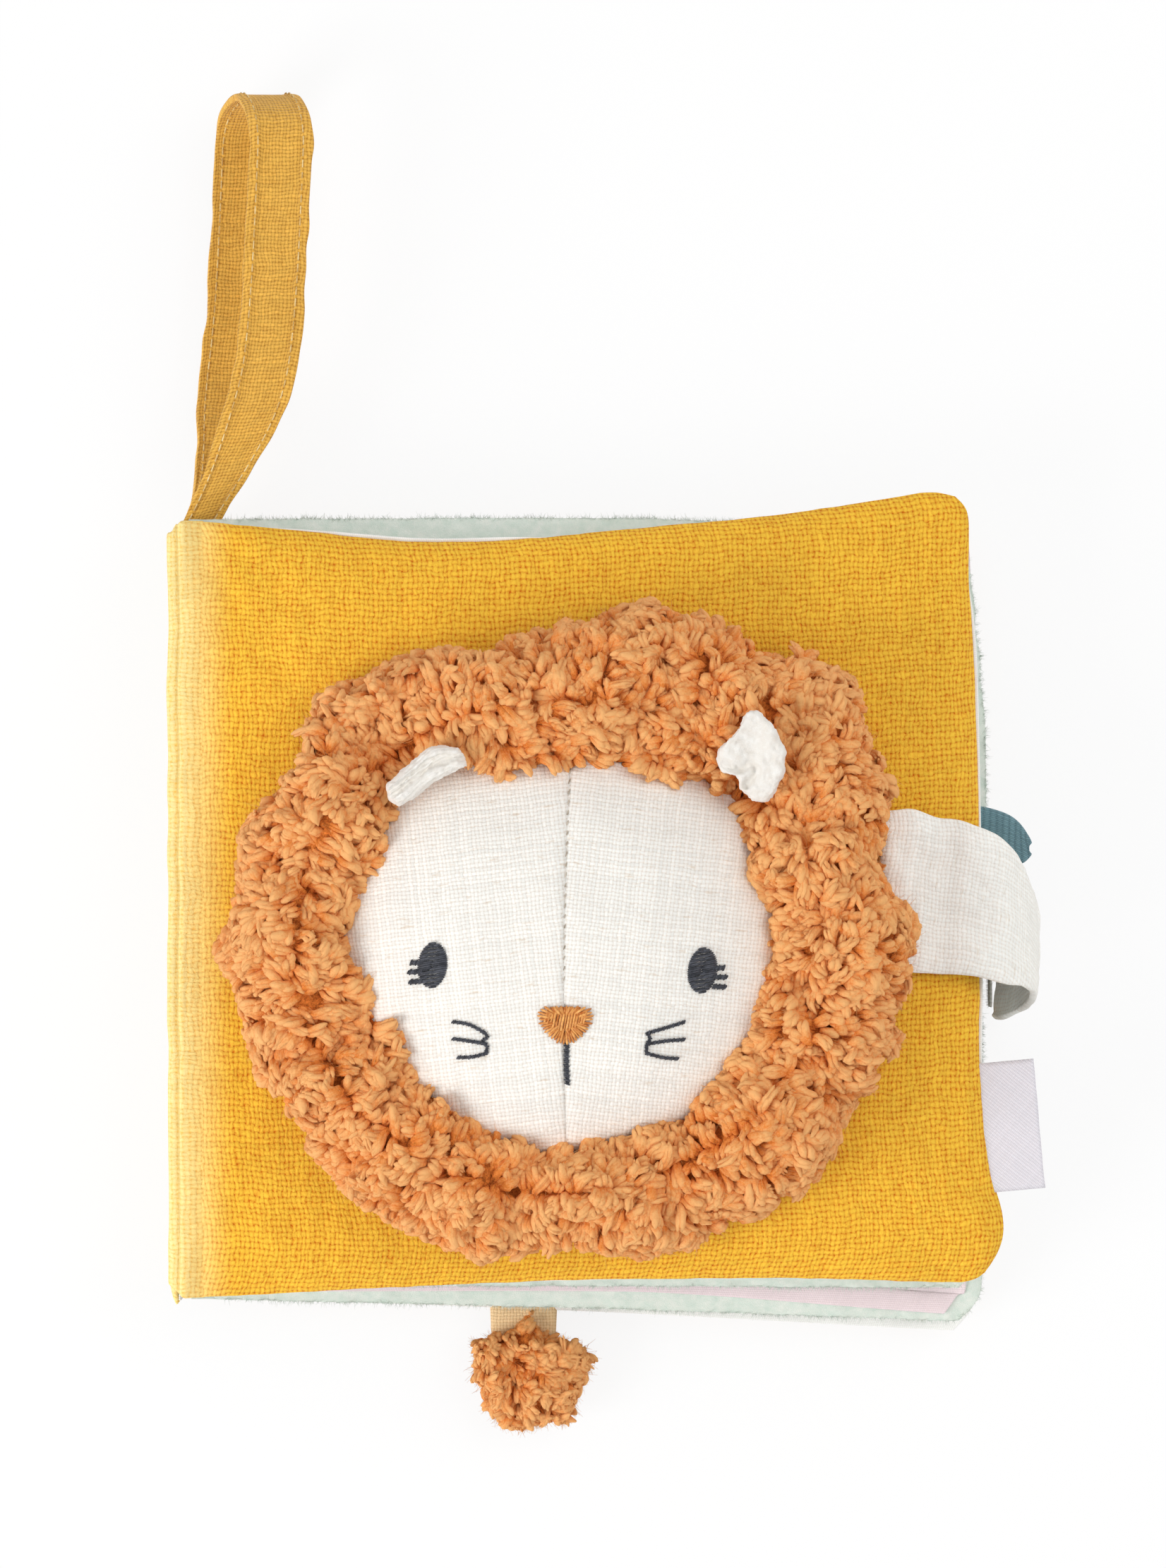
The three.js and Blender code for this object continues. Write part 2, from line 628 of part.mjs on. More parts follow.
// The hanging loop: a folded band, pinched into the spine's head, whose upper run lies to the right.
const loopStartY = headReach + seatGap + gap;
const loopRun = (s) => Math.min(1, Math.min(s, 1 - s) / loopRunShare);
function loopRoute(s) {
  const run = loopRun(s);
  const bend = clamp((s - loopRunShare) / (1 - 2 * loopRunShare), 0, 1) * Math.PI;
  const radius = (loopHighZ - loopLowZ) / 2;
  const open = THREE.MathUtils.smoothstep(run, 0, loopOpenShare);
  const half = mix(loopRootGap / 2, radius, open);
  const drift = mix(run, 1 - (1 - run) ** loopLeanPower, loopLeanShare);
  return vec(
    loopRootX + loopDrift * drift - Math.cos(bend) * loopSpread / 2 * open,
    loopStartY + (loopLong - radius) * run + radius * Math.sin(bend),
    mix(loopRootZ, loopLowZ + radius, open) - half * Math.cos(bend));
}
const loopWideAt = (s) =>
  loopWide - loopPinch * (1 - THREE.MathUtils.smoothstep(loopRun(s), 0, loopWidenShare));
add('hanging_loop', ribbon(loopSteps, loopRoute, sideX, loopWideAt, loopThick), ochre);

export default book;
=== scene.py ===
"""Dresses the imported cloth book: gauze covers, plush leaves, linen face, pile mane and sewn bands.

Lengths are in millimetres until a mesh is made. +X runs from the spine to the fore edge, +Y to the
head of the book and +Z out of the front cover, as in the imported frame.
"""

import itertools
import json
import math

import bpy
import numpy as np
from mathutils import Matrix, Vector
from mathutils.bvhtree import BVHTree

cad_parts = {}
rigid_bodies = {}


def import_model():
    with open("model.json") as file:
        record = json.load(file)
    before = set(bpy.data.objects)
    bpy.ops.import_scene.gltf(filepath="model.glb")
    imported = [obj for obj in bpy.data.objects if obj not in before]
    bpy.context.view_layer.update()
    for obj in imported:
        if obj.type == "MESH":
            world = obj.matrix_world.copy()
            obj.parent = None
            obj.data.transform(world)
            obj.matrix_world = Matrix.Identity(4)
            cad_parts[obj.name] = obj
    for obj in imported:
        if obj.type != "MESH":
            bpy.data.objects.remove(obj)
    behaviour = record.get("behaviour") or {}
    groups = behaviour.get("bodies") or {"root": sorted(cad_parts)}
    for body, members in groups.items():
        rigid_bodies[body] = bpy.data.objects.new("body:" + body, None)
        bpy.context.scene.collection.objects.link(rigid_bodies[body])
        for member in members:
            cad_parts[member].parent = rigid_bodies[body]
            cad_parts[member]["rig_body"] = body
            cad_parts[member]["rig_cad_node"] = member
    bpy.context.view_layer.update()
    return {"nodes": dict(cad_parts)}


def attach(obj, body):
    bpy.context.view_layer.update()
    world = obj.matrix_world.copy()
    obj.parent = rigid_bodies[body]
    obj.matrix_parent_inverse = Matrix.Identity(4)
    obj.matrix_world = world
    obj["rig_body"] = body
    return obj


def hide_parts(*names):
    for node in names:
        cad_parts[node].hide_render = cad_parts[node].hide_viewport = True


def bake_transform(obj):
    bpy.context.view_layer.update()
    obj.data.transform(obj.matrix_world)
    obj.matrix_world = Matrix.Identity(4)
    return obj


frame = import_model()

MM = 0.001
SEED = 11

# The photograph: its height in pixels, how many of them make a millimetre at the cover, and its middle
PHOTO_HIGH = 2222
PIXELS_PER_MM = 7.48
COVER_Z = 30.0
MIDDLE = (1.5, 25.9)
CAMERA_HEIGHT = 1100.0
SENSOR = 36.0

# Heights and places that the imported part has
BACK_SEAM = 5.70
LEAF_TWO_SEAM = 12.48
LEAF_ONE_SEAM = 19.66
FRONT_SEAM = 26.44
HEAD_BASE = 34.34
HEAD = (-2.7, -4.4)
HEAD_HALF = (46.0, 42.5)
HEAD_RISE = 24.0
GAUZE_CROWN = 7.6
THIN_CROWN = 3.0
BACK_CROWN = 5.6


def linear(code):
    """A web colour as linear RGBA."""
    parts = [int(code[i : i + 2], 16) / 255 for i in (0, 2, 4)]
    return tuple(p / 12.92 if p <= 0.04045 else ((p + 0.055) / 1.055) ** 2.4 for p in parts) + (1.0,)


# Numbers on arrays

LATTICE = np.random.default_rng(SEED).random((32, 32, 32)) * 2 - 1


def noise(points):
    """Smooth noise from -1 to 1 at each point."""
    cell = np.floor(points).astype(int)
    part = points - cell
    part = part * part * (3 - 2 * part)
    total = np.zeros(len(points))
    for corner in itertools.product((0, 1), repeat=3):
        weight = np.prod(np.where(np.array(corner) == 1, part, 1 - part), axis=1)
        at = (cell + corner) % len(LATTICE)
        total += weight * LATTICE[at[:, 0], at[:, 1], at[:, 2]]
    return total


def noise_on(points, scale=1.0, shift=0.0):
    """The same noise over a grid of points, as a grid of numbers."""
    return noise((points * scale + shift).reshape(-1, 3)).reshape(points.shape[:-1])


def smooth(value, low, high):
    """Rises softly from 0 at low to 1 at high."""
    share = np.clip((value - low) / (high - low), 0, 1)
    return share * share * (3 - 2 * share)


def curve(points, steps=24):
    """A smooth line through the points, and a call that gives it at shares of its length."""
    points = np.array(points, float)
    ends = np.concatenate([[2 * points[0] - points[1]], points, [2 * points[-1] - points[-2]]])
    t = np.linspace(0, 1, steps, endpoint=False)[:, None]
    line = [
        0.5 * (2 * b + (c - a) * t + (2 * a - 5 * b + 4 * c - d) * t**2 + (3 * b - a - 3 * c + d) * t**3)
        for a, b, c, d in zip(ends[:-3], ends[1:-2], ends[2:-1], ends[3:])
    ]
    line = np.concatenate([*line, points[-1:]])
    run = run_of(line)
    run /= run[-1]

    def at(share):
        return np.stack([np.interp(share, run, line[:, i]) for i in range(line.shape[1])], axis=-1)

    return at


def run_of(line):
    """How far along a line each of its points lies, from its start."""
    return np.concatenate([[0], np.cumsum(np.linalg.norm(np.diff(line, axis=0), axis=1))])


def turned(places, angle):
    """Places on a cloth whose threads run at an angle."""
    return places @ np.array([[np.cos(angle), np.sin(angle)], [-np.sin(angle), np.cos(angle)]])


def unit(vectors):
    """The same directions, each of length one."""
    return vectors / np.maximum(np.linalg.norm(vectors, axis=-1, keepdims=True), 1e-9)


# Meshes


def grid_faces(rows, columns, closed=False):
    """Quads over a grid of points kept row by row. A closed grid joins its last column to its first."""
    i, j = np.meshgrid(np.arange(rows - 1), np.arange(columns if closed else columns - 1), indexing="ij")
    i, j = i.ravel(), j.ravel()
    k, m = i + 1, (j + 1) % columns
    return np.stack([i * columns + j, k * columns + j, k * columns + m, i * columns + m], axis=1)


def mesh_object(name, points, faces, material, uv=None, fields=None):
    """A smooth-shaded object from points in millimetres. uv holds each point's place on the cloth."""
    points = np.asarray(points, float).reshape(-1, 3)
    mesh = bpy.data.meshes.new(name)
    mesh.vertices.add(len(points))
    mesh.vertices.foreach_set("co", (points * MM).astype(np.float32).ravel())
    faces = [np.asarray(f) for f in (faces if isinstance(faces, list) else [faces]) if len(f)]
    loops = np.concatenate([f.ravel() for f in faces])
    sizes = np.concatenate([np.full(len(f), f.shape[1]) for f in faces])
    mesh.loops.add(len(loops))
    mesh.loops.foreach_set("vertex_index", loops.astype(np.int32))
    mesh.polygons.add(len(sizes))
    starts = np.concatenate([[0], np.cumsum(sizes)[:-1]])
    mesh.polygons.foreach_set("loop_start", starts.astype(np.int32))
    mesh.polygons.foreach_set("use_smooth", np.ones(len(sizes), bool))
    mesh.update(calc_edges=True)
    if uv is not None:
        layer = mesh.uv_layers.new(name="cloth")
        layer.data.foreach_set("uv", np.asarray(uv, float).reshape(-1, 2)[loops].astype(np.float32).ravel())
    for key, values in (fields or {}).items():
        field = mesh.attributes.new(key, "FLOAT", "POINT")
        field.data.foreach_set("value", np.asarray(values, np.float32).ravel())
    mesh.validate()
    mesh.materials.append(material)
    obj = bpy.data.objects.new(name, mesh)
    bpy.context.scene.collection.objects.link(obj)
    return obj


def points_of(obj):
    co = np.zeros(len(obj.data.vertices) * 3, np.float32)
    obj.data.vertices.foreach_get("co", co)
    return co.reshape(-1, 3).astype(float) / MM


def normals_of(obj):
    co = np.zeros(len(obj.data.vertices) * 3, np.float32)
    obj.data.vertex_normals.foreach_get("vector", co)
    return co.reshape(-1, 3).astype(float)


def field_of(obj, key):
    values = np.zeros(len(obj.data.vertices), np.float32)
    obj.data.attributes[key].data.foreach_get("value", values)
    return values


def move_points(obj, points):
    obj.data.vertices.foreach_set("co", (np.asarray(points) * MM).astype(np.float32).ravel())
    obj.data.update()


def bake(obj):
    """Turns the object's modifiers into its mesh."""
    graph = bpy.context.evaluated_depsgraph_get()
    graph.update()
    source = obj.evaluated_get(graph)
    made = bpy.data.meshes.new_from_object(source, preserve_all_data_layers=True, depsgraph=graph)
    obj.modifiers.clear()
    old, obj.data = obj.data, made
    bpy.data.meshes.remove(old)
    return obj


def subdivide(obj, levels):
    finer = obj.modifiers.new("finer", "SUBSURF")
    finer.levels = finer.render_levels = levels
    return bake(obj)


def thicken(obj, thick, levels=0):
    """Gives a sheet its thickness, half on each side, and rounds it."""
    solid = obj.modifiers.new("thick", "SOLIDIFY")
    solid.thickness = thick * MM
    solid.offset = 0
    bake(obj)
    return subdivide(obj, levels) if levels else obj


def run_along(points):
    """How far each point of each row is from the row's middle, along the row."""
    step = np.linalg.norm(np.diff(points, axis=1), axis=2)
    run = np.concatenate([np.zeros((len(points), 1)), np.cumsum(step, axis=1)], axis=1)
    return run - run[:, run.shape[1] // 2][:, None]


def cloth_places(points):
    """Each grid point's place on the flat cloth, from its middle, in millimetres."""
    return np.stack([run_along(points), run_along(points.transpose(1, 0, 2)).T], axis=-1)


def tree_of(obj):
    """A search tree of the object's faces, for lines that are dropped on it."""
    faces = [tuple(face.vertices) for face in obj.data.polygons]
    return BVHTree.FromPolygons([tuple(point) for point in points_of(obj)], faces)


def seam_height(obj):
    """The height at which a pad's two skins meet."""
    return float(np.median(points_of(obj)[np.abs(field_of(obj, "side")) < 0.2][:, 2]))


# A height that is well outside the book, from which lines are dropped
FAR_OFF = 400.0


def drop(tree, x, y, missing, down=True):
    """The height at which a line from above, or from below, meets the tree."""
    start, way = (FAR_OFF, Vector((0, 0, -1))) if down else (-FAR_OFF, Vector((0, 0, 1)))
    heights = np.empty(np.shape(x))
    for k in np.ndindex(heights.shape):
        hit = tree.ray_cast(Vector((x[k], y[k], start)), way)[0]
        heights[k] = missing if hit is None else hit.z
    return heights


# How far apart neighbouring tubes lie in their cloth places, in millimetres
STRAND_STEP = 7.0


def tubes(name, lines, radii, up, material, sides=6, fields=None, rough=0.0):
    """Many tapered tubes: lines is (count, points, 3), radii (count, points) and up (count, 3).

    fields holds numbers for each tube or each of its points. rough is how lumpy the surface is, as a share.
    """
    count, length, _ = lines.shape
    along = unit(np.gradient(lines, axis=1))
    side = unit(np.cross(along, np.broadcast_to(up[:, None, :], lines.shape)))
    lift = np.cross(side, along)
    turn = np.linspace(0, 2 * np.pi, sides, endpoint=False)
    ring = (
        side[:, :, None, :] * np.cos(turn)[None, None, :, None]
        + lift[:, :, None, :] * np.sin(turn)[None, None, :, None]
    )
    points = lines[:, :, None, :] + ring * radii[:, :, None, None]
    one = grid_faces(length, sides, closed=True)
    starts = (np.arange(count) * length * sides)[:, None, None]
    faces = (one[None] + starts).reshape(-1, 4)
    caps = np.stack([np.arange(sides)[::-1], np.arange(sides) + (length - 1) * sides])
    spread = {}
    for key, values in (fields or {}).items():
        values = np.asarray(values).reshape(count, -1)
        spread[key] = np.repeat(values, length * sides // values.shape[1], axis=1)
    step = np.linalg.norm(np.diff(lines, axis=1), axis=2)
    run = np.concatenate([np.zeros((count, 1)), np.cumsum(step, axis=1)], axis=1)
    widest = radii.max(axis=1)[:, None, None]
    girth = turn[None, None, :] * widest + np.arange(count)[:, None, None] * STRAND_STEP
    uv = np.stack(np.broadcast_arrays(girth, run[:, :, None]), axis=-1)
    if rough:
        lump = noise_on(points, 1.1, 2) * 0.6 + noise_on(points, 2.6, 5) * 0.4
        points = points + ring * (lump * rough * radii[:, :, None])[..., None]
    closing = (caps[None] + starts).reshape(-1, sides)
    return mesh_object(name, points, [faces, closing], material, uv, spread)


# Materials

# How often the threads of a cloth shake, in a millimetre
SHAKE_SCALE = 0.45
CLOTH_SHINE = 0.25


class Shader:
    """A material whose nodes are made by short calls. An argument is a number, a colour or a socket."""

    def __init__(self, name):
        self.material = bpy.data.materials.new(name)
        self.material.use_nodes = True
        self.tree = self.material.node_tree
        self.skin = self.tree.nodes["Principled BSDF"]
        self.out = self.tree.nodes["Material Output"]

    def put(self, socket, value):
        if isinstance(value, bpy.types.NodeSocket):
            self.tree.links.new(value, socket)
        else:
            socket.default_value = value

    def node(self, kind, settings=None, **inputs):
        made = self.tree.nodes.new("ShaderNode" + kind)
        for key, value in (settings or {}).items():
            setattr(made, key, value)
        for key, value in inputs.items():
            self.put(made.inputs[int(key[1:]) if key[1:].isdigit() else key.replace("_", " ")], value)
        return made

    def math(self, operation, *values, clamp=False):
        made = self.tree.nodes.new("ShaderNodeMath")
        made.operation, made.use_clamp = operation, clamp
        for socket, value in zip(made.inputs, values):
            self.put(socket, value)
        return made.outputs[0]

    def vector(self, operation, **inputs):
        return self.node("VectorMath", {"operation": operation}, **inputs).outputs[0]

    def stretched(self, place, scale, turn=0.0):
        return self.node("Mapping", Vector=place, Rotation=(0.0, 0.0, turn), Scale=(*scale, 1.0)).outputs[0]

    def lot(self, number):
        """A random share for each whole number."""
        return self.node("TexWhiteNoise", {"noise_dimensions": "1D"}, W=number).outputs["Value"]

    def centred(self, value, amount, onto):
        """Adds a noise of 0 to 1 to another number, as swings of the amount to both sides."""
        return self.math("MULTIPLY_ADD", self.math("SUBTRACT", value, 0.5), amount * 2, onto)

    def mix(self, share, a, b, blend="MIX"):
        made = self.tree.nodes.new("ShaderNodeMix")
        made.data_type, made.blend_type = "RGBA", blend
        for at, value in ((0, share), (6, a), (7, b)):
            self.put(made.inputs[at], value)
        return made.outputs[2]

    def noise(self, place, scale, detail=2.0, rough=0.5):
        made = self.node("TexNoise", Vector=place, Scale=scale, Detail=detail, Roughness=rough)
        return made.outputs["Fac"]

    def cloth(self, waviness=0.0, wave_scale=0.12, shake=0.0):
        """The place on the cloth in millimetres, as x, y and both, with threads that wander and shake."""
        place = self.node("UVMap", {"uv_map": "cloth"}).outputs[0]
        for amount, scale in ((waviness, wave_scale), (shake, SHAKE_SCALE)):
            wander = self.node("TexNoise", Vector=place, Scale=scale, Detail=3.0).outputs["Color"]
            centred = self.vector("SUBTRACT", i0=wander, i1=(0.5, 0.5, 0.5))
            place = self.vector("ADD", i0=place, i1=self.vector("SCALE", i0=centred, Scale=amount))
        parts = self.node("SeparateXYZ", Vector=place).outputs
        return parts[0], parts[1], place

    def body(self):
        """The place in the object's own frame, in millimetres."""
        return self.vector("SCALE", i0=self.node("TexCoord").outputs["Object"], Scale=1 / MM)

    def threads(self, x, y, pitch_x, pitch_y, wide):
        """A plain weave: its height from 0 to 1, and a random number for each thread on top."""
        a, b = self.math("DIVIDE", x, pitch_x), self.math("DIVIDE", y, pitch_y)

        def one(across, along, phase):
            number = self.math("FLOOR", across)
            part = self.math("SUBTRACT", self.math("FRACT", across), 0.5)
            share = self.math("DIVIDE", part, wide / 2)
            inside = self.math("SUBTRACT", 1.0, self.math("MULTIPLY", share, share), clamp=True)
            turn = self.math("MULTIPLY", self.math("ADD", self.math("ADD", along, phase), number), math.pi)
            over = self.math("MULTIPLY_ADD", self.math("COSINE", turn), 0.34, 0.66)
            return self.math("MULTIPLY", self.math("SQRT", inside), over), number

        warp, warp_number = one(a, b, -0.5)
        weft, weft_number = one(b, a, 0.5)
        on_top = self.math("GREATER_THAN", warp, weft)
        weft_lot = self.math("MULTIPLY", weft_number, 1.37)
        warp_lot = self.math("MULTIPLY", warp_number, 2.11)
        return self.math("MAXIMUM", warp, weft), self.lot(self.mix(on_top, weft_lot, warp_lot))

    def finish(self, colour, rough, height, strength, distance, sheen, sheen_rough=0.5, tint=None):
        """Sets the skin: its colour and roughness, its bump of so many millimetres and its soft sheen."""
        bump = self.node("Bump", Strength=strength, Distance=distance * MM, Height=height)
        settings = {"Base Color": colour, "Roughness": rough, "Specular IOR Level": CLOTH_SHINE,
                    "Sheen Weight": sheen, "Sheen Roughness": sheen_rough, "Normal": bump.outputs[0]}
        if tint:
            settings["Sheen Tint"] = tint
        for key, value in settings.items():
            self.put(self.skin.inputs[key], value)
        return self.material


# How fine the noise on a cloth is, in a millimetre: its grit, its clouds of tone, its creases and its flecks
GRIT_SCALE = 1.5
CLOUD_SCALE = 0.09
CREASE = (0.34, 0.85)
FLECK = (0.25, 1.3)


def weave_material(name, light, dark, pitch, wide, waviness, wave_scale=0.12, slub=0.25, relief=0.25,
                   fuzz=0.15, sheen=0.15, cloud=0.1, fleck=None, shake=0.3, painted_glare=None, crinkle=0.0,
                   grit=0.0):
    """A woven cloth: threads of one pitch, gaps and crease dips in a darker tone as painted shade, slubs,
    soft fuzz and clouds of tone.

    Towards the spine the cloth may be painted paler, a painted highlight: that argument holds a light and a
    dark tone that the cloth takes there, and where that starts and ends.
    """
    s = Shader(name)
    x, y, place = s.cloth(waviness, wave_scale, shake)
    height, lot = s.threads(x, y, *pitch, wide)
    lifted = s.centred(s.noise(place, 7.0 / pitch[0], 3.0), fuzz, height)
    if crinkle:
        lifted = s.centred(s.noise(s.stretched(place, CREASE), 1.0, 3.0, 0.65), crinkle, lifted)
    if grit:
        lifted = s.centred(s.noise(place, GRIT_SCALE, 3.0, 0.7), grit, lifted)
    # The colour follows the weave's height: gaps and crease dips take the dark tone as painted shade, thread
    # tops the light one.
    share = s.math("POWER", s.math("MAXIMUM", lifted, 0.0), 0.8, clamp=True)
    colour = s.mix(share, linear(dark), linear(light))
    # Paler towards the spine: painted highlight.
    if painted_glare:
        glare_light, glare_dark, start, end = painted_glare
        across = s.node("SeparateXYZ", Vector=s.body()).outputs[0]
        glare_share = s.node("MapRange", {"interpolation_type": "SMOOTHSTEP"}, Value=across, From_Min=start,
                      From_Max=end, To_Min=1.0, To_Max=0.0).outputs[0]
        colour = s.mix(glare_share, colour, s.mix(share, linear(glare_dark), linear(glare_light)))
    tone = s.math("MULTIPLY_ADD", lot, slub, 1 - slub / 2)
    clouds = s.math("MULTIPLY_ADD", s.noise(place, CLOUD_SCALE, 3.0), cloud * 2, 1 - cloud)
    both = s.math("MULTIPLY", tone, clouds)
    shade = s.node("CombineColor", i0=both, i1=both, i2=both).outputs[0]
    colour = s.mix(1.0, colour, shade, "MULTIPLY")
    if fleck:
        code, amount = fleck
        spot = s.math("SUBTRACT", s.noise(s.stretched(place, FLECK), 1.1, 2.0), 0.62)
        spot = s.math("MULTIPLY", spot, 7.0, clamp=True)
        colour = s.mix(s.math("MULTIPLY", spot, amount), colour, linear(code))
    return s.finish(colour, 0.92, lifted, 0.8, relief, sheen)


def plush_material(name, light, dark, grain=1.1):
    """A short soft pile: blotches of nap over fine fibres."""
    s = Shader(name)
    place = s.body()
    nap = s.noise(place, 0.45 * grain, 4.0, 0.6)
    fibre = s.noise(place, 4.5 * grain, 3.0, 0.6)
    share = s.math("MULTIPLY_ADD", fibre, 0.6, s.math("MULTIPLY_ADD", nap, 1.2, -0.45), clamp=True)
    return s.finish(s.mix(share, linear(dark), linear(light)), 0.96, fibre, 0.6, 0.25 * grain, 0.35, 0.6)


def pile_material(name, light, middle, dark):
    """Curly wool locks: each lock has its own tone, and it is painted darker at its root and in the clefts
    between lumps, as painted shade.
    """
    s = Shader(name)
    place = s.body()
    tone, depth = (s.node("Attribute", {"attribute_name": key}).outputs["Fac"] for key in ("tone", "depth"))
    combed = s.stretched(s.node("UVMap", {"uv_map": "cloth"}).outputs[0], (2.6, 0.42))
    share = s.math("MULTIPLY_ADD", tone, 0.4, -1.24)
    # The share along each lock darkens its root, and the tone darkens the clefts: painted shade.
    for grain, weight in (
        (s.noise(combed, 1.5, 4.0, 0.65), 0.45),
        (s.noise(place, 1.1, 4.0, 0.7), 0.8),
        (s.noise(place, 2.6, 4.0, 0.75), 0.9),
        (s.noise(place, 0.12, 3.0, 0.6), 0.5),
        (depth, 0.85),
    ):
        share = s.math("MULTIPLY_ADD", grain, weight, share)
    ramp = s.node("ValToRGB", Fac=share)
    stops = ramp.color_ramp.elements
    stops[0].position, stops[0].color = 0.0, linear(dark)
    stops[1].position, stops[1].color = 0.95, linear(light)
    stops.new(0.45).color = linear(middle)
    curls = s.math("MULTIPLY", s.noise(place, 2.2, 4.0, 0.75), 0.6)
    fine = s.math("MULTIPLY_ADD", s.noise(combed, 3.4, 3.0, 0.7), 0.4, curls)
    return s.finish(ramp.outputs["Color"], 0.95, fine, 0.9, 0.4, 0.12, tint=linear(middle))


# How far a thread's fibres turn round it, in radians
THREAD_TWIST = 0.35


def thread_material(name, light, dark, rough):
    """Shiny embroidery thread with a fine twist, where each thread has its own tone and its twist is painted
    into its colour as light and dark streaks, a painted highlight.
    """
    s = Shader(name)
    strand = s.node("UVMap", {"uv_map": "cloth"}).outputs[0]
    twist = s.noise(s.stretched(strand, (6.0, 0.9), THREAD_TWIST), 1.6, 3.0, 0.6)
    girth = s.node("SeparateXYZ", Vector=strand).outputs[0]
    lot = s.lot(s.math("FLOOR", s.math("DIVIDE", girth, STRAND_STEP)))
    share = s.math("MULTIPLY_ADD", s.noise(s.body(), 1.3, 3.0, 0.7), 1.8, -1.15)
    share = s.math("MULTIPLY_ADD", lot, 0.55, share)
    # The twist's streaks in the colour are painted highlights; as bump they are the thread's real relief.
    share = s.math("MULTIPLY_ADD", twist, 0.9, share, clamp=True)
    return s.finish(s.mix(share, linear(dark), linear(light)), rough, twist, 0.6, 0.12, 0.1, 0.4)


# Each cloth's dark tone below is the painted shade of its gaps and crease dips.
# The gauze's paler tones towards the spine are a painted highlight.
gauze = weave_material(
    "gauze", "FFCD40", "D26800", (1.15, 0.92), 0.84, waviness=1.8, wave_scale=0.11, slub=0.08,
    relief=0.2, fuzz=0.5, sheen=0.03, cloud=0.07, shake=1.1, painted_glare=("FFEAA4", "FFD068", -77.0, -64.0),
    crinkle=0.5, grit=0.5)
lining_cotton = weave_material(
    "lining_cotton", "FBFAF7", "E4E1DA", (0.4, 0.4), 0.9, waviness=0.3, slub=0.04, relief=0.05, fuzz=0.1)
twill = weave_material(
    "pink_twill", "F3E3E5", "DCC6CA", (0.5, 0.34), 0.9, waviness=0.4, slub=0.06, relief=0.08, fuzz=0.1)
linen = weave_material(
    "oatmeal_linen", "FFFEF9", "E8DDD0", (0.74, 0.74), 0.88, waviness=0.9, wave_scale=0.2, slub=0.12,
    relief=0.2, fuzz=0.35, sheen=0.05, cloud=0.03, fleck=("D9BF9E", 0.45), grit=0.2)
strap_linen = weave_material(
    "strap_linen", "FFFFFA", "F3EADF", (0.82, 0.82), 0.88, waviness=0.9, wave_scale=0.2, slub=0.1,
    relief=0.2, fuzz=0.3, sheen=0.12, cloud=0.03, fleck=("DCC6A8", 0.4), grit=0.2)
ochre = weave_material(
    "ochre_linen", "FCC456", "B16C0A", (0.66, 0.72), 0.88, waviness=0.9, wave_scale=0.2, slub=0.14,
    relief=0.3, fuzz=0.35, sheen=0.2, shake=0.6, crinkle=0.4, grit=0.35)
teal = weave_material(
    "teal_weave", "84AAB5", "4A6F7B", (0.34, 1.3), 0.9, waviness=0.3, wave_scale=0.2, slub=0.3,
    relief=0.35, fuzz=0.25, sheen=0.2)
satin = weave_material(
    "grey_satin", "E9E6EC", "C4BFC6", (0.55, 0.3), 0.9, waviness=0.1, slub=0.08, relief=0.06, fuzz=0.08,
    sheen=0.05, cloud=0.05)
tan_linen = weave_material(
    "tan_linen", "FDDDAE", "DFB47C", (0.62, 0.62), 0.9, waviness=0.5, wave_scale=0.2, relief=0.2,
    slub=0.15, fuzz=0.25, sheen=0.12)
tape = weave_material(
    "hook_tape", "F4F1EA", "C9C4BA", (0.9, 0.9), 0.7, waviness=0.3, wave_scale=0.2, slub=0.1,
    relief=0.2, fuzz=0.3, sheen=0.1)
mint_plush = plush_material("mint_plush", "F6F6EE", "CBDDD0")
velour = plush_material("ear_velour", "FFFFFC", "E8DFD3", 1.3)
pile = pile_material("rust_pile", "FFBE7A", "EE893A", "7A3206")
charcoal = thread_material("charcoal_thread", "565962", "24262C", 0.4)
nut_brown = thread_material("brown_thread", "FFC272", "B45A10", 0.3)
white_thread = thread_material("seam_thread", "E2D6C6", "9A8B76", 0.7)
ochre_thread = thread_material("loop_thread", "FFE8AA", "C89A50", 0.7)

# Camera, light and floor

camera = bpy.data.cameras.new("camera")
camera.sensor_width = SENSOR
camera.lens = SENSOR * CAMERA_HEIGHT / (PHOTO_HIGH / PIXELS_PER_MM)
eye = bpy.data.objects.new("camera", camera)
eye.location = (MIDDLE[0] * MM, MIDDLE[1] * MM, (COVER_Z + CAMERA_HEIGHT) * MM)
bpy.context.scene.collection.objects.link(eye)
bpy.context.scene.camera = eye
bpy.context.scene.view_settings.view_transform = "Standard"


def lamp(name, place, energy, size):
    light = bpy.data.lights.new(name, "AREA")
    light.energy, light.size = energy, size
    obj = bpy.data.objects.new(name, light)
    obj.location = place
    obj.rotation_euler = (-Vector(place)).to_track_quat("-Z", "Y").to_euler()
    bpy.context.scene.collection.objects.link(obj)


lamp("key", (-0.92, -0.5, 0.66), energy=8.4, size=0.6)
lamp("fill", (0.8, 0.4, 1.1), energy=6.0, size=1.0)

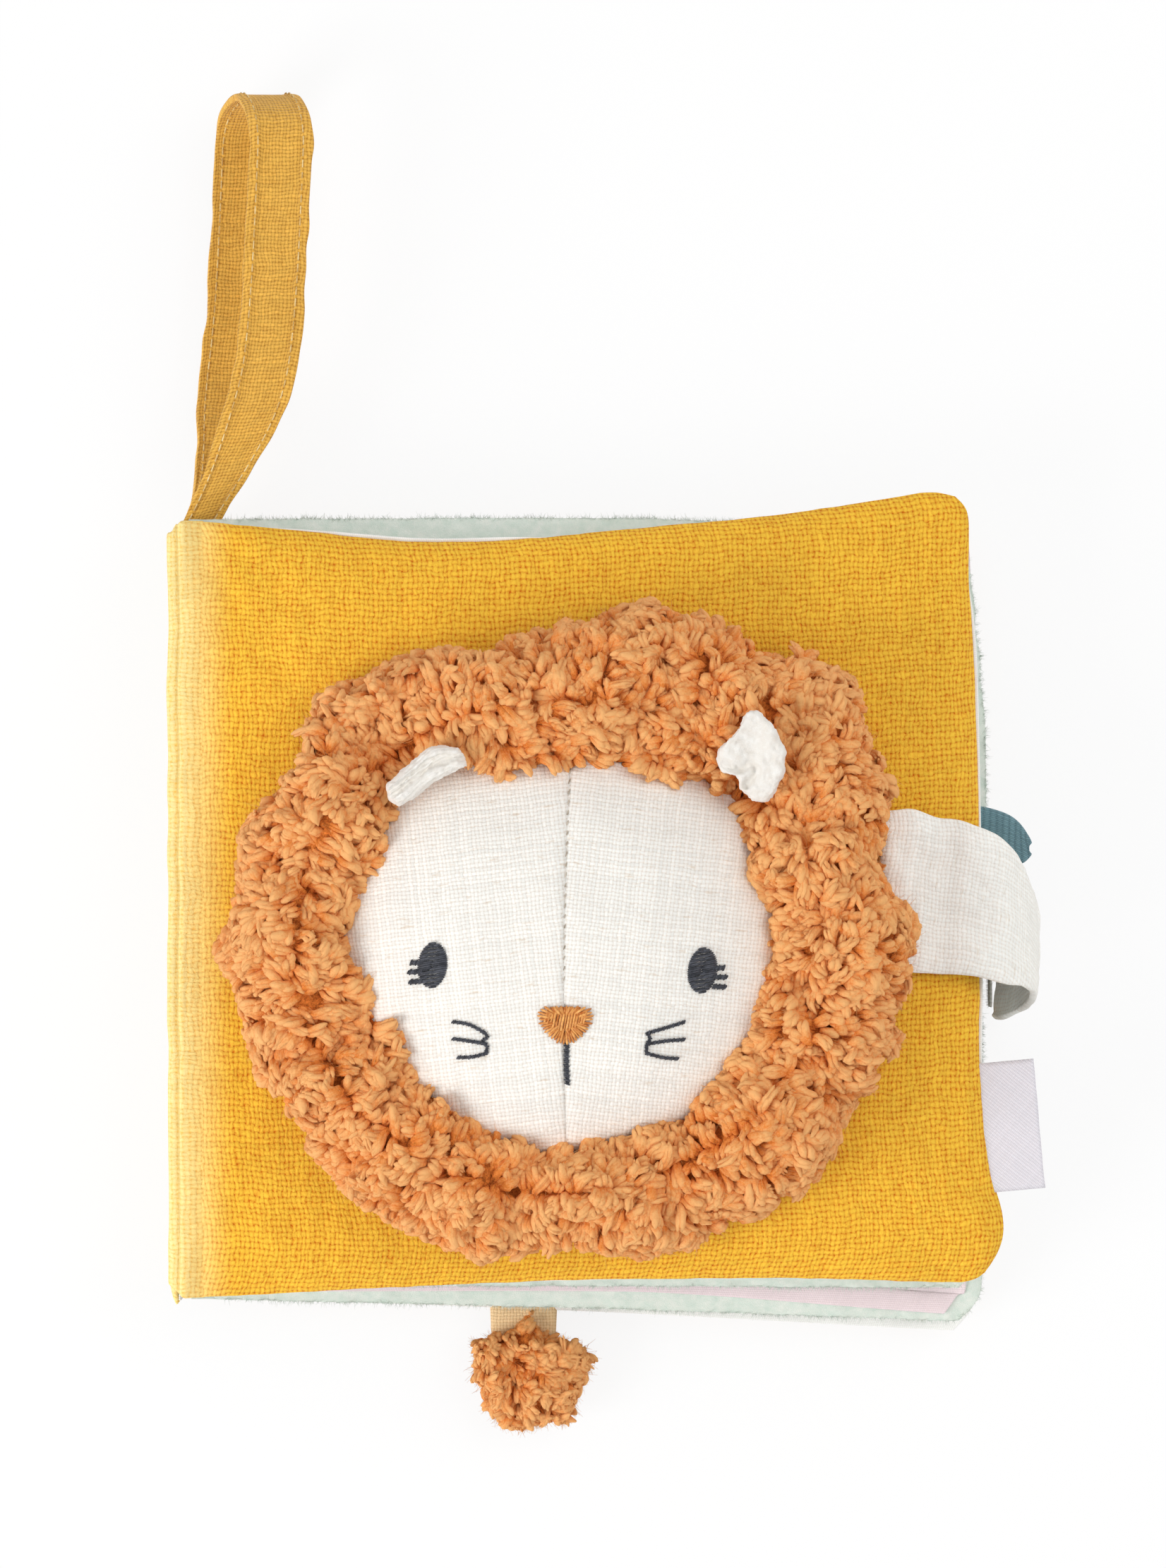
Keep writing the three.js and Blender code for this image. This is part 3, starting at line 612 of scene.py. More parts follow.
# How bright the sky is to the object and the floor to the camera, as a share of white
SKY = 0.63
FLOOR_GLOW = 0.86
WHITE = (1, 1, 1, 1)
world = bpy.data.worlds.new("studio")
bpy.context.scene.world = world
world.use_nodes = True
nodes, links = world.node_tree.nodes, world.node_tree.links
rays = nodes.new("ShaderNodeLightPath")
seen = nodes.new("ShaderNodeMath")
seen.operation = "MAXIMUM"
links.new(rays.outputs["Is Camera Ray"], seen.inputs[0])
links.new(rays.outputs["Is Glossy Ray"], seen.inputs[1])
bright = nodes.new("ShaderNodeMapRange")
bright.inputs["To Min"].default_value = SKY
bright.inputs["To Max"].default_value = 1.0
links.new(seen.outputs[0], bright.inputs["Value"])
links.new(bright.outputs[0], nodes["Background"].inputs["Strength"])
nodes["Background"].inputs["Color"].default_value = WHITE

FLOOR_HALF = 3000.0
FLOOR_PALE = (0.92, 0.92, 0.92, 1)
ground = Shader("floor")
rays = ground.node("LightPath")
seen = ground.math("MAXIMUM", rays.outputs["Is Camera Ray"], rays.outputs["Is Glossy Ray"])
seen = ground.math("MAXIMUM", seen, rays.outputs["Is Transmission Ray"])
glow = ground.node("Emission", Color=WHITE, Strength=1.0).outputs[0]
ground.put(ground.skin.inputs["Base Color"], FLOOR_PALE)
ground.put(ground.skin.inputs["Roughness"], 0.9)
glowing = ground.math("MULTIPLY", seen, FLOOR_GLOW)
both = ground.node("MixShader", i0=glowing, i1=ground.skin.outputs[0], i2=glow)
ground.put(ground.out.inputs["Surface"], both.outputs[0])
corners = np.array([[-1, -1, 0], [1, -1, 0], [1, 1, 0], [-1, 1, 0]]) * FLOOR_HALF
floor = mesh_object("floor", corners, np.array([[0, 1, 2, 3]]), ground.material)

# Pads


def dress(obj, slot, body, *replaced):
    """Says which nodes the piece stands for and which body it rides. The slot, which names its colour, is not
    used.

    A tuple as the body holds two bodies and the two places between which the piece would bend; the piece is
    then only baked in place and rides neither body.
    """
    if replaced:
        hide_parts(*replaced)
    if isinstance(body, tuple):
        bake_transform(obj)
    else:
        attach(obj, body)


# The crown of a pad: at what share of its height it is cut flat, how sharply it falls off and how roundly
CROWN_FLAT = 0.95
CROWN_POWER = 6
CROWN_ROUND = 0.6
PAD_CELLS = 38
PAD_LEVELS = 2
PAD_SLACK = 0.93
ROOT_X = -74.3
LEAF_ROOT_X = -74.0


def crown(u, v):
    def swell(value):
        return 1 - np.abs(value) ** CROWN_POWER

    return np.minimum(CROWN_FLAT, np.maximum(0, swell(u) * swell(v)) ** CROWN_ROUND) / CROWN_FLAT


def outline_plan(top, right, bottom, left):
    """A plan between four edge lines, each a list of places from left to right or from bottom to top."""
    t_line, r_line, b_line, l_line = (curve(points) for points in (top, right, bottom, left))

    def plan(u, v):
        s, t = (u + 1) / 2, (v + 1) / 2
        s3, t3 = s[..., None], t[..., None]
        across = (1 - t3) * b_line(s) + t3 * t_line(s)
        along = (1 - s3) * l_line(t) + s3 * r_line(t)
        corners = (
            (1 - s3) * (1 - t3) * np.array(bottom[0], float)
            + s3 * (1 - t3) * np.array(bottom[-1], float)
            + (1 - s3) * t3 * np.array(top[0], float)
            + s3 * t3 * np.array(top[-1], float)
        )
        return across + along - corners

    return plan


front_plan = outline_plan(
    top=[(-74.3, 76.1), (-63.1, 75.2), (-48, 73.7), (-32.8, 72.1), (-17.6, 72.1), (-2.5, 73.1), (15, 74.9),
         (29.3, 76.1), (46.8, 78.3), (61.9, 80.7), (67.8, 81.5), (72.2, 80.6)],
    right=[(77.9, -67), (80.4, -63.2), (81.6, -59.2), (81.1, -54.2), (78.7, -46.1), (76.9, -27.5),
           (76.9, -11.8), (76.7, 21.6), (75.8, 51.9), (74.9, 64), (75.0, 75.2), (74.3, 78.4), (72.2, 80.6)],
    bottom=[(-74.3, -71.9), (-53.3, -70.9), (-31.6, -69.7), (-9.8, -68.8), (-4.7, -68.5), (38.9, -68.1),
            (66.8, -68.8), (75.0, -68.6), (77.9, -67)],
    left=[(-74.3, -71.9), (-74.3, 0), (-74.3, 76.1)],
)


# How far a leaf's fore corners are rounded in, over one part in so many of its edge
LEAF_ROUND = 4.2
LEAF_CORNERS = 22


def leaf_plan(foot, foot_drop, fore=78.0, head=76.6, wave=0.0, wave_long=8.3, start=LEAF_ROOT_X, trim=6.0,
              wave_from=0.0):
    """A leaf: a rectangle with a lower fore corner, a soft wave along its fore edge and round corners."""
    rise = np.linspace(0, 1, 40)
    long = head - foot + foot_drop
    waves = wave * np.abs(np.sin(np.pi * rise * long / wave_long)) ** 0.7
    waves = waves * smooth(rise, wave_from - 0.05, wave_from + 0.05)
    corners = np.maximum(0, 1 - rise * LEAF_CORNERS) ** 2 + np.maximum(0, 1 - (1 - rise) * LEAF_CORNERS) ** 2
    out = fore - LEAF_ROUND * corners - trim * rise**8 + waves
    right = list(zip(out, (foot - foot_drop) * (1 - rise) + head * rise))
    top = [(start, head), (0, head + 0.3), (30, head - 0.4), (58, head - 1.2), (fore - trim - 8, head - 1.6),
           right[-1]]
    bottom = [(start, foot), (0, foot - foot_drop * 0.42), (60, foot - foot_drop * 0.9), right[0]]
    return outline_plan(top, right, bottom, [(start, foot), (start, 0), (start, head)])


def simulate(obj, frames=20, pressure=4.0, cap=1.2):
    """Blows the sewn pad up as cloth, with its seam held. No point moves further than the cap."""
    start = points_of(obj)
    held = obj.vertex_groups.new(name="seam")
    rim = np.flatnonzero(np.abs(field_of(obj, "side")) < 0.5)
    held.add([int(i) for i in rim], 1.0, "REPLACE")
    blown = obj.modifiers.new("blown", "CLOTH")
    blown.settings.quality = 6
    blown.settings.mass = 0.2
    blown.settings.tension_stiffness = blown.settings.compression_stiffness = 12
    blown.settings.bending_stiffness = 0.3
    blown.settings.use_pressure = True
    blown.settings.uniform_pressure_force = pressure
    blown.settings.effector_weights.gravity = 0
    blown.settings.vertex_group_mass = "seam"
    blown.collision_settings.use_collision = False
    blown.point_cache.frame_start, blown.point_cache.frame_end = 1, frames
    for number in range(1, frames + 1):
        bpy.context.scene.frame_set(number)
    bake(obj)
    bpy.context.scene.frame_set(1)
    moved = points_of(obj) - start
    far = np.linalg.norm(moved, axis=1, keepdims=True)
    move_points(obj, start + moved * np.minimum(1, cap / np.maximum(far, 1e-9)))


# How far apart the cloth places of a pillow's two skins lie, so that their threads differ
LOWER_SKIN = 500


def pillow(name, plan, top, under, cells, material):
    """A closed body over a plan, whose two skins meet at the rim. top and under give their heights."""
    share = np.sin((np.arange(cells + 1) / cells - 0.5) * np.pi)
    u, v = np.meshgrid(share, share, indexing="ij")
    flat = plan(u, v)
    upper = np.dstack([flat, top(u, v, flat)])
    lower = np.dstack([flat, under(u, v, flat)])
    count = (cells + 1) ** 2
    grid = grid_faces(cells + 1, cells + 1)
    faces = np.concatenate([grid, grid[:, ::-1] + count])
    rim = np.maximum(np.abs(u), np.abs(v)) > 0.9999
    index = np.arange(2 * count)
    index[count:][rim.ravel()] = index[:count][rim.ravel()]
    side = np.concatenate([np.where(rim, 0, 1).ravel(), np.where(rim, 0, -1).ravel()])
    uv = np.concatenate([cloth_places(upper).reshape(-1, 2), cloth_places(lower).reshape(-1, 2) + LOWER_SKIN])
    corner_uv = uv[faces]
    used, faces = np.unique(index[faces], return_inverse=True)
    points = np.concatenate([upper.reshape(-1, 3), lower.reshape(-1, 3)])[used]
    obj = mesh_object(name, points, faces.reshape(-1, 4), material, fields={"side": side[used]})
    layer = obj.data.uv_layers.new(name="cloth")
    layer.data.foreach_set("uv", corner_uv.reshape(-1, 2).astype(np.float32).ravel())
    return obj


# How tight a pad's folds are along X, Y and Z: long ones that run to the head, and short ones
LONG_FOLDS = np.array([0.34, 0.07, 0.2])
SHORT_FOLDS = np.array([0.16, 0.2, 0.2])


def pad(name, plan, seam, up, down, material, body, slot, replaced, crinkle):
    """A sewn pad: two crowned skins that meet on a seam, blown up as cloth and then crinkled.

    up and down are its heights over and under the seam, and crinkle is how deep its folds and dents are.
    """
    obj = pillow(name, plan, lambda u, v, _: seam + PAD_SLACK * up * crown(u, v),
                 lambda u, v, _: seam - PAD_SLACK * down * crown(u, v), PAD_CELLS, material)
    simulate(obj)
    limited = points_of(obj)
    limited[:, 2] = np.clip(limited[:, 2], seam - down, seam + up)
    move_points(obj, limited)
    subdivide(obj, PAD_LEVELS)
    fine, out, away = points_of(obj), normals_of(obj), np.abs(field_of(obj, "side"))
    tall, soft = crinkle
    folds = noise_on(fine, LONG_FOLDS, 3) * 0.6 + noise_on(fine, SHORT_FOLDS, 9) * 0.4
    raised = (folds * tall + noise_on(fine, 0.9) * soft) * (0.35 + 0.65 * away)
    move_points(obj, fine + out * raised[:, None])
    dress(obj, slot, body, *replaced)
    return obj


def parts_of(name, *faces):
    return [f"{name}_{part}" for part in (*faces, "wadding", "crinkle_film")]


leaf_one_plan = leaf_plan(-70.1, 0.4, fore=77.5, wave=1.9, wave_from=0.6)
leaf_two_plan = leaf_plan(-73.3, 4.2, wave=0.5, wave_long=11)
back_plan = leaf_plan(-73.5, 6.2, fore=77.6, head=76.0, start=ROOT_X, trim=2.0)

front_pad = pad(
    "front_cover_pad", front_plan, FRONT_SEAM, GAUZE_CROWN, THIN_CROWN, gauze, "front_cover", "gauze",
    parts_of("front_cover", "gauze"), crinkle=(0.42, 0.06))
leaf_one_pad = pad(
    "leaf_one_pad", leaf_one_plan, LEAF_ONE_SEAM, 3.4, 3.4, mint_plush, "leaf_one", "mint_plush",
    parts_of("leaf_one", "mint_face", "mint_back"), crinkle=(0.25, 0.2))
leaf_two_pad = pad(
    "leaf_two_pad", leaf_two_plan, LEAF_TWO_SEAM, 3.1, 3.4, mint_plush, "leaf_two", "mint_plush",
    parts_of("leaf_two", "mint_back"), crinkle=(0.25, 0.2))
back_pad = pad(
    "back_cover_pad", back_plan, BACK_SEAM, THIN_CROWN - 0.3, BACK_CROWN, gauze, "back_cover", "gauze",
    parts_of("back_cover", "gauze"), crinkle=(0.3, 0.06))


# How far a facing stands off its pad, how thick it is, and how much its cells crowd towards its edge
FACING_GAP = 0.35
FACING_THICK = 0.4
FACING_CROWD = 0.94


def facing(name, plan, under, material, body, slot, replaced, down=True, cells=60):
    """A cloth face laid on a pad, following it, with its edge at the pad's seam."""
    sweep = np.pi * FACING_CROWD
    share = np.sin((np.arange(cells + 1) / cells - 0.5) * sweep) / np.sin(sweep / 2)
    u, v = np.meshgrid(share, share, indexing="ij")
    at = plan(u, v)
    heights = drop(tree_of(under), at[..., 0], at[..., 1], seam_height(under), down)
    points = np.dstack([at, heights + (FACING_GAP if down else -FACING_GAP)])
    obj = mesh_object(name, points, grid_faces(cells + 1, cells + 1), material, cloth_places(points))
    thicken(obj, FACING_THICK, 1)
    dress(obj, slot, body, replaced)


lining_plan = outline_plan(
    top=[(-73.6, 75.6), (-50, 74.2), (-41, 73.5), (-28, 72.6), (-12, 72.9), (0, 73.0), (29.3, 75.7),
         (61.9, 80.2), (71.6, 80.0)],
    right=[(77.3, -66.4), (81.0, -59.2), (78.4, -46.1), (77.4, -27.5), (77.5, -11.8), (77.1, 21.6),
           (76.3, 51.9), (74.6, 66), (74.3, 75.2), (71.6, 80.0)],
    bottom=[(-73.6, -71.4), (-31.6, -69.3), (38.9, -67.7), (70, -68.1), (77.3, -66.4)],
    left=[(-73.6, -71.4), (-73.6, 0), (-73.6, 75.6)],
)
pink_plan = outline_plan(
    top=[(-73.4, 75.4), (0, 75.7), (73.0, 75.2)],
    right=[(71.0, -76.0), (73.6, -72.0), (75.4, -66), (76.2, 0), (76.0, 68), (73.0, 75.2)],
    bottom=[(-73.4, -71.8), (0, -71.6), (25, -72.4), (60.2, -75.2), (71.0, -76.0)],
    left=[(-73.4, -71.8), (-73.4, 0), (-73.4, 75.4)],
)
back_lining_plan = leaf_plan(-73.3, 6.6, fore=77.4, head=75.8, start=-74.0, trim=2.0)
facing("front_cover_lining_cloth", lining_plan, front_pad, lining_cotton, "front_cover", "cotton_lining",
       "front_cover_lining", down=False)
facing("leaf_two_pink_cloth", pink_plan, leaf_two_pad, twill, "leaf_two", "pink_cotton",
       "leaf_two_pink_face")
facing("back_cover_lining_cloth", back_lining_plan, back_pad, lining_cotton, "back_cover", "cotton_lining",
       "back_cover_lining")

# Spine: an outer strip over its wadding, its lining, and the cloth that folds at each cover

STRIP_COLUMNS = 22
STRIP_ROWS = 70


def strip(name, section, material, slot, thick, replaced, ends, ripple, closed_to=None):
    """A band of cloth along the spine. section has places in x and z. Its ends may be sewn shut."""
    line = curve(section)(np.linspace(0, 1, STRIP_COLUMNS))
    t = np.sin(np.linspace(-1, 1, STRIP_ROWS) * np.pi / 2)[:, None]
    across, high = line[:, 0], line[:, 1]
    if closed_to is not None:
        across = closed_to + (across - closed_to) * np.sqrt(1 - np.abs(t) ** 30)
    y = (ends[0] + ends[1]) / 2 + t * (ends[1] - ends[0]) / 2
    whole = np.ones((STRIP_ROWS, STRIP_COLUMNS))
    points = np.dstack([across * whole, y * whole, high * whole])
    points[..., 0] += noise_on(points, 0.11, 5) * ripple
    obj = mesh_object(name, points, grid_faces(*whole.shape), material, cloth_places(points))
    thicken(obj, thick, 1)
    dress(obj, slot, "spine", *replaced)
    return obj


spine_cloth = strip(
    "spine_cloth", [(-76.0, 7.4), (-77.0, 10.5), (-77.5, 16.0), (-77.0, 21.8), (-76.0, 24.8)], gauze,
    "gauze", 0.8, ["spine_gauze", "spine_wadding"], ends=(-73.0, 75.2), ripple=0.35, closed_to=-75.7)
spine_lining = strip(
    "spine_lining_cloth", [(-75.2, 7.2), (-75.2, 16.0), (-75.2, 25.0)], lining_cotton, "cotton_lining", 0.5,
    ["spine_lining"], ends=(-72.4, 74.6), ripple=0.05)


# How far a hinge fold's outer corners are drawn in, and how high it stands over the pad that it lands on
CORNER_INSET = 2.2
FOLD_BUMP = 1.35
FOLD_SUNK = 0.4


def hinge_fold(name, under, section, up, bodies, ends):
    """The cover's cloth where it folds round to the spine: a soft ridge that lands on the pad."""
    rows, count = 80, 24
    line = curve(section)(np.linspace(0, 1, count))
    inset = CORNER_INSET * smooth(-line[:, 0], 73.6, 76.8) ** 2
    y = np.linspace(ends[0] + inset, ends[1] - inset, rows)
    x = np.broadcast_to(line[:, 0], (rows, count))
    x = x + noise_on(np.dstack([x * 0 + 3, y * 0.16, x * 0])) * 0.3
    skin = drop(tree_of(under), np.maximum(x, ROOT_X + 0.4), y, seam_height(under), up > 0)
    onto = smooth(x, -75.2, -73.4)
    landed = skin + up * (FOLD_BUMP * (1 - smooth(x, -74.4, -70.4)) - FOLD_SUNK)
    points = np.dstack([x, y, line[:, 1] * (1 - onto) + landed * onto])
    obj = mesh_object(name, points, grid_faces(rows, count), gauze, cloth_places(points))
    thicken(obj, 0.7, 1)
    dress(obj, "gauze", bodies)


hinge_fold(
    "hinge_fold_front", front_pad,
    [(-76.5, 22.6), (-77.2, 24.4), (-76.9, 26.2), (-76.0, 26.9), (-75.2, 26.6), (-74.6, 27.8), (-73.6, 28.9),
     (-72.2, 29.0), (-70.2, 29.0)],
    1, ("spine", "front_cover", (-0.0755, 0, 0.025), (-0.075, 0, 0.028)), ends=(-71.8, 76.0))
hinge_fold(
    "hinge_fold_back", back_pad,
    [(-76.3, 9.6), (-76.5, 8.0), (-76.3, 6.0), (-75.5, 4.2), (-74.2, 3.4), (-72.6, 3.2), (-70.2, 3.0)],
    -1, ("back_cover", "spine", (-0.075, 0, 0.004), (-0.0755, 0, 0.0072)), ends=(-73.2, 75.6))

# Head: two linen gores over the stuffing, which meet on a stitched seam


def seam_x(y):
    """The line of the face's seam, which bows a little towards the spine."""
    return -2.0 + 1.2 * ((y + 14) / 45) ** 2


def head_share(x, y):
    """A place as shares of the head's half width and half length, from its middle."""
    return (x - HEAD[0]) / HEAD_HALF[0], (y - HEAD[1]) / HEAD_HALF[1]


def bell(distance, half):
    """One at no distance, and next to nothing beyond twice the half width."""
    return np.exp(-((distance / half) ** 2))


# The seam's groove and its puckers: how deep and how wide. PUCKER_LONG is the way from one to the next.
SEAM_GROOVE = (0.45, 0.9)
SEAM_PUCKER = (0.22, 2.4)
PUCKER_LONG = 1.7


def face_z(x, y):
    """The height of the face: a stuffed dome, drawn in along its seam."""
    reach = np.hypot(*head_share(x, y))
    pucker = 0.5 + 0.5 * np.cos(2 * np.pi * y / PUCKER_LONG + 0.6 * np.sin(y))
    (deep, wide), (pucker_deep, pucker_wide) = SEAM_GROOVE, SEAM_PUCKER
    away = x - seam_x(y)
    groove = deep * bell(away, wide) + pucker_deep * pucker * bell(away, pucker_wide)
    return HEAD_BASE + HEAD_RISE * np.sqrt(np.maximum(0, 1 - reach * reach)) - groove


# How far each gore's threads are turned, half the gap at the seam, and how near the gore comes to its poles
GORE_TILT = 0.12
GORE_GAP = 0.06
GORE_REACH = 0.995


def face_gore(name, hand, *replaced):
    """One half of the face, from the seam to the head's edge, with the soft dents of its stuffing."""
    rows, columns = 170, 80
    turn = np.linspace(-1, 1, rows)[:, None] * np.pi / 2 * GORE_REACH
    reach = np.sin(np.linspace(0, 1, columns) * np.pi / 2)
    y = np.broadcast_to(HEAD[1] + HEAD_HALF[1] * np.sin(turn), (rows, columns))
    edge = HEAD[0] + hand * HEAD_HALF[0] * np.cos(turn)
    start = seam_x(y) + hand * GORE_GAP
    x = start + (edge - start) * reach
    points = np.dstack([x, y, face_z(x, y)])
    dents = noise_on(points, 0.09, 4) * 0.45 + noise_on(points, 0.5) * 0.08
    points[..., 2] += dents * np.sqrt(1 - reach**2 * 0.9)
    places = turned(points[..., :2], hand * GORE_TILT)
    obj = mesh_object(name, points, grid_faces(rows, columns)[:, :: -hand], linen, places)
    thicken(obj, 0.7)
    dress(obj, "oatmeal_linen", "front_cover", *replaced)
    return tree_of(obj)


face_trees = [
    face_gore("face_left", -1, "face_gore_left", "head_stuffing"),
    face_gore("face_right", 1, "face_gore_right"),
]


def on_face(x, y, lift):
    """Places on the linen, which the threads of the embroidery follow."""
    z = np.maximum(*(drop(tree, x, y, 0.0) for tree in face_trees))
    return np.stack([x, y, np.where(z > HEAD_BASE, z, face_z(x, y)) + lift], axis=-1)


def face_threads(name, lines, radii, material, slot, *replaced):
    """Threads that lie on the face, as one piece."""
    obj = tubes(name, lines, radii, np.tile([0.0, 0, 1], (len(lines), 1)), material)
    dress(obj, slot, "front_cover", *replaced)


# The seam's stitches thin out towards the nose. STITCH_SHAPE has how far along and how high each point lies.
STITCH_THICK = (0.13, 0.07)
STITCH_SHAPE = ((-0.5, -0.12), (-0.17, 0.1), (0.17, 0.1), (0.5, -0.12))
STITCH_SLANT = 0.35
stitch_y = np.linspace(34.0, -10.0, 24)
stitches = np.stack([
    on_face(seam_x(stitch_y + ahead) + STITCH_SLANT * ahead, stitch_y + ahead, lift)
    for ahead, lift in STITCH_SHAPE
], axis=1)
stitch_radii = np.tile(np.linspace(*STITCH_THICK, len(stitches))[:, None], len(STITCH_SHAPE))
face_threads("face_seam_stitches", stitches, stitch_radii, white_thread, "charcoal_thread")

# Embroidery: satin stitch laid side by side on the face


THREAD_LIFT = 0.08


def uneven(number, amount):
    """A little more or less for each thread, so that no two neighbours are alike."""
    return amount * np.sin(number * 2.4)


def satin_stitch(node, rows, radius, swell, material=charcoal, slot="charcoal_thread"):
    """Threads laid side by side, each one through two or more places on the face."""
    share = np.linspace(0, 1, 9)
    raised = THREAD_LIFT + swell * np.sin(share * np.pi) ** 0.5
    lines = []
    for number, row in enumerate(rows):
        flat = curve(row)(share)
        lines.append(on_face(flat[:, 0], flat[:, 1], raised + uneven(number, 0.12)))
    lines = np.array(lines)
    radii = np.full(lines.shape[:2], radius)
    radii[:, [0, -1]] *= 0.5
    face_threads(f"{node.replace('_line', '')}_thread", lines, radii, material, slot, node)


STITCH_PITCH = 0.36


def across_line(line, half):
    """Short slanting stitches set side by side across a drawn line."""
    places = curve(line)(np.linspace(0, 1, 60))
    long = np.hypot(*np.diff(places, axis=0).T).sum()
    places = curve(line)(np.linspace(0, 1, int(long / STITCH_PITCH) + 2))
    way = unit(np.gradient(places, axis=0))
    side = np.stack([-way[:, 1], way[:, 0]], axis=1)
    reach = side * half * (1 + uneven(np.arange(len(places)), 0.3))[:, None] + way * 0.2
    return list(np.stack([places - reach, places + reach], axis=1))


# Each eye's place and the way that its lashes point, and for each lash its height and length
EYES = {"left": (-26.35, -7.65, -1), "right": (23.65, -8.65, 1)}
EYE_HALF = (2.8, 4.15)
EYE_ROWS = 23
EYE_SLANT = 0.18
LASHES = ((0.1, 1.2), (-0.3, 1.7), (-0.72, 1.5))
LASH_HALF = 0.42
for hand, (x, y, way) in EYES.items():
    rows = []
    for place in np.linspace(-0.97, 0.97, EYE_ROWS):
        wide = EYE_HALF[0] * np.sqrt(1 - place**2)
        at = y + EYE_HALF[1] * place
        split = wide * 0.35 * np.sin(place * 37)
        tilt = EYE_SLANT * wide
        rows.append([(x - wide, at - tilt), (x + split - 0.1, at + 0.03)])
        rows.append([(x + split - 0.25, at - 0.03), (x + wide, at + tilt)])
    for rise, long in LASHES:
        start = (x + way * EYE_HALF[0] * 0.75, y + EYE_HALF[1] * rise)
        rows += across_line([start, (x + way * (EYE_HALF[0] + long), start[1] + 0.25 * rise)], LASH_HALF)
    satin_stitch(f"eye_{hand}", rows, radius=0.2, swell=0.35)

# The nose's outline as places from its middle line, which is at NOSE_X. Threads fan out from NOSE_MIDDLE.
NOSE_X = -1.75
NOSE_TOP = [(-5.15, -16.5), (-4.7, -15.7), (-3.7, -15.3), (0, -15.25), (3.7, -15.3), (4.7, -15.7),
            (5.15, -16.5)]
NOSE_LOW = [(-5.15, -16.5), (-4.75, -18.4), (-3.3, -20.4), (-1.6, -21.8), (0, -22.2), (1.6, -21.8),
            (3.3, -20.4), (4.75, -18.4), (5.15, -16.5)]
NOSE_MIDDLE = np.array([0.0, -17.6])
NOSE_THREADS = 46
NOSE_FILLING = 15
top, low = (curve(line)(np.linspace(0, 1, 80)) for line in (NOSE_TOP, NOSE_LOW))
rows = []
for place in np.linspace(-3.6, 3.6, NOSE_FILLING):
    high, foot = (np.interp(place, line[:, 0], line[:, 1]) for line in (top, low))
    rows.append([(NOSE_X + place - 0.4, 0.7 * foot + 0.3 * high), (NOSE_X + place + 0.4, high - 0.5)])
rim = np.vstack([top, low[::-1]])
for number, way in enumerate(np.linspace(0, 2 * np.pi, NOSE_THREADS, endpoint=False)):
    spoke = np.array([np.cos(way), np.sin(way)])
    lean = unit(rim - NOSE_MIDDLE) @ spoke
    outer = rim[np.argmax(lean)] + uneven(number, 0.17) * spoke
    inner = NOSE_MIDDLE + (outer - NOSE_MIDDLE) * (0.42 + 0.1 * np.sin(number * 1.7))
    rows.append([(NOSE_X + x, y) for x, y in (inner, outer)])
satin_stitch("nose", rows, radius=0.24, swell=0.6, material=nut_brown, slot="brown_thread")

MOUTH = ((-1.5, -22.3), (-1.55, -26.0), (-1.4, -29.7))
MOUTH_HALF = 0.46
satin_stitch("mouth_line", across_line(MOUTH, MOUTH_HALF), radius=0.17, swell=0.2)

# Three whiskers a side, and the line that joins their inner ends
WHISKER_HALF = 0.3
WHISKERS = {
    "left": [
        [(-22.6, -18.1), (-19.6, -18.6), (-16.9, -20.0)],
        [(-22.6, -21.3), (-19.6, -21.7), (-16.4, -22.2)],
        [(-21.7, -24.8), (-19.2, -24.7), (-16.4, -24.0)],
        [(-16.9, -20.0), (-16.2, -20.9), (-17.2, -21.8), (-16.3, -22.6), (-16.4, -24.0)],
    ],
    "right": [
        [(20.3, -18.2), (17.0, -19.2), (13.4, -20.2)],
        [(20.3, -21.5), (17.0, -21.7), (13.5, -22.2)],
        [(19.1, -25.1), (16.3, -24.8), (13.3, -24.0)],
        [(13.4, -20.2), (13.9, -21.2), (13.3, -22.4), (13.3, -24.0)],
    ],
}
for hand, whiskers in WHISKERS.items():
    rows = [stitch for line in whiskers for stitch in across_line(line, WHISKER_HALF)]
    satin_stitch(f"whiskers_{hand}", rows, radius=0.17, swell=0.25)

# Ears: folded tabs of velour between the face and the mane

EAR_LEFT = outline_plan(
    top=[(-35.2, 25.8), (-32.8, 27.8), (-29.6, 30.6), (-26.2, 33.0), (-21.6, 32.6)],
    right=[(-20.0, 29.2), (-20.2, 31.0), (-21.6, 32.6)],
    bottom=[(-32.6, 21.6), (-30.4, 22.9), (-27.2, 25.4), (-23.6, 27.6), (-20.0, 29.2)],
    left=[(-32.6, 21.6), (-34.6, 23.2), (-35.2, 25.8)],
)
EAR_RIGHT = outline_plan(
    top=[(28.9, 34.2), (30.4, 36.2), (31.4, 38.8), (33.5, 39.5), (36.4, 37.1)],
    right=[(35.8, 22.6), (38.2, 26.4), (39.1, 30.1), (38.5, 33.6), (36.4, 37.1)],
    bottom=[(30.6, 24.9), (33.3, 22.6), (35.8, 22.6)],
    left=[(30.6, 24.9), (30.0, 27.2), (27.2, 28.4), (26.3, 30.6), (26.9, 32.6), (28.9, 34.2)],
)
EAR_HALF = 1.9


def dome(u, v):
    """An ear's roundness: full over most of its plan, and nothing at its edge."""
    return ((1 - u**14) * (1 - v**8)).clip(0) ** 0.45


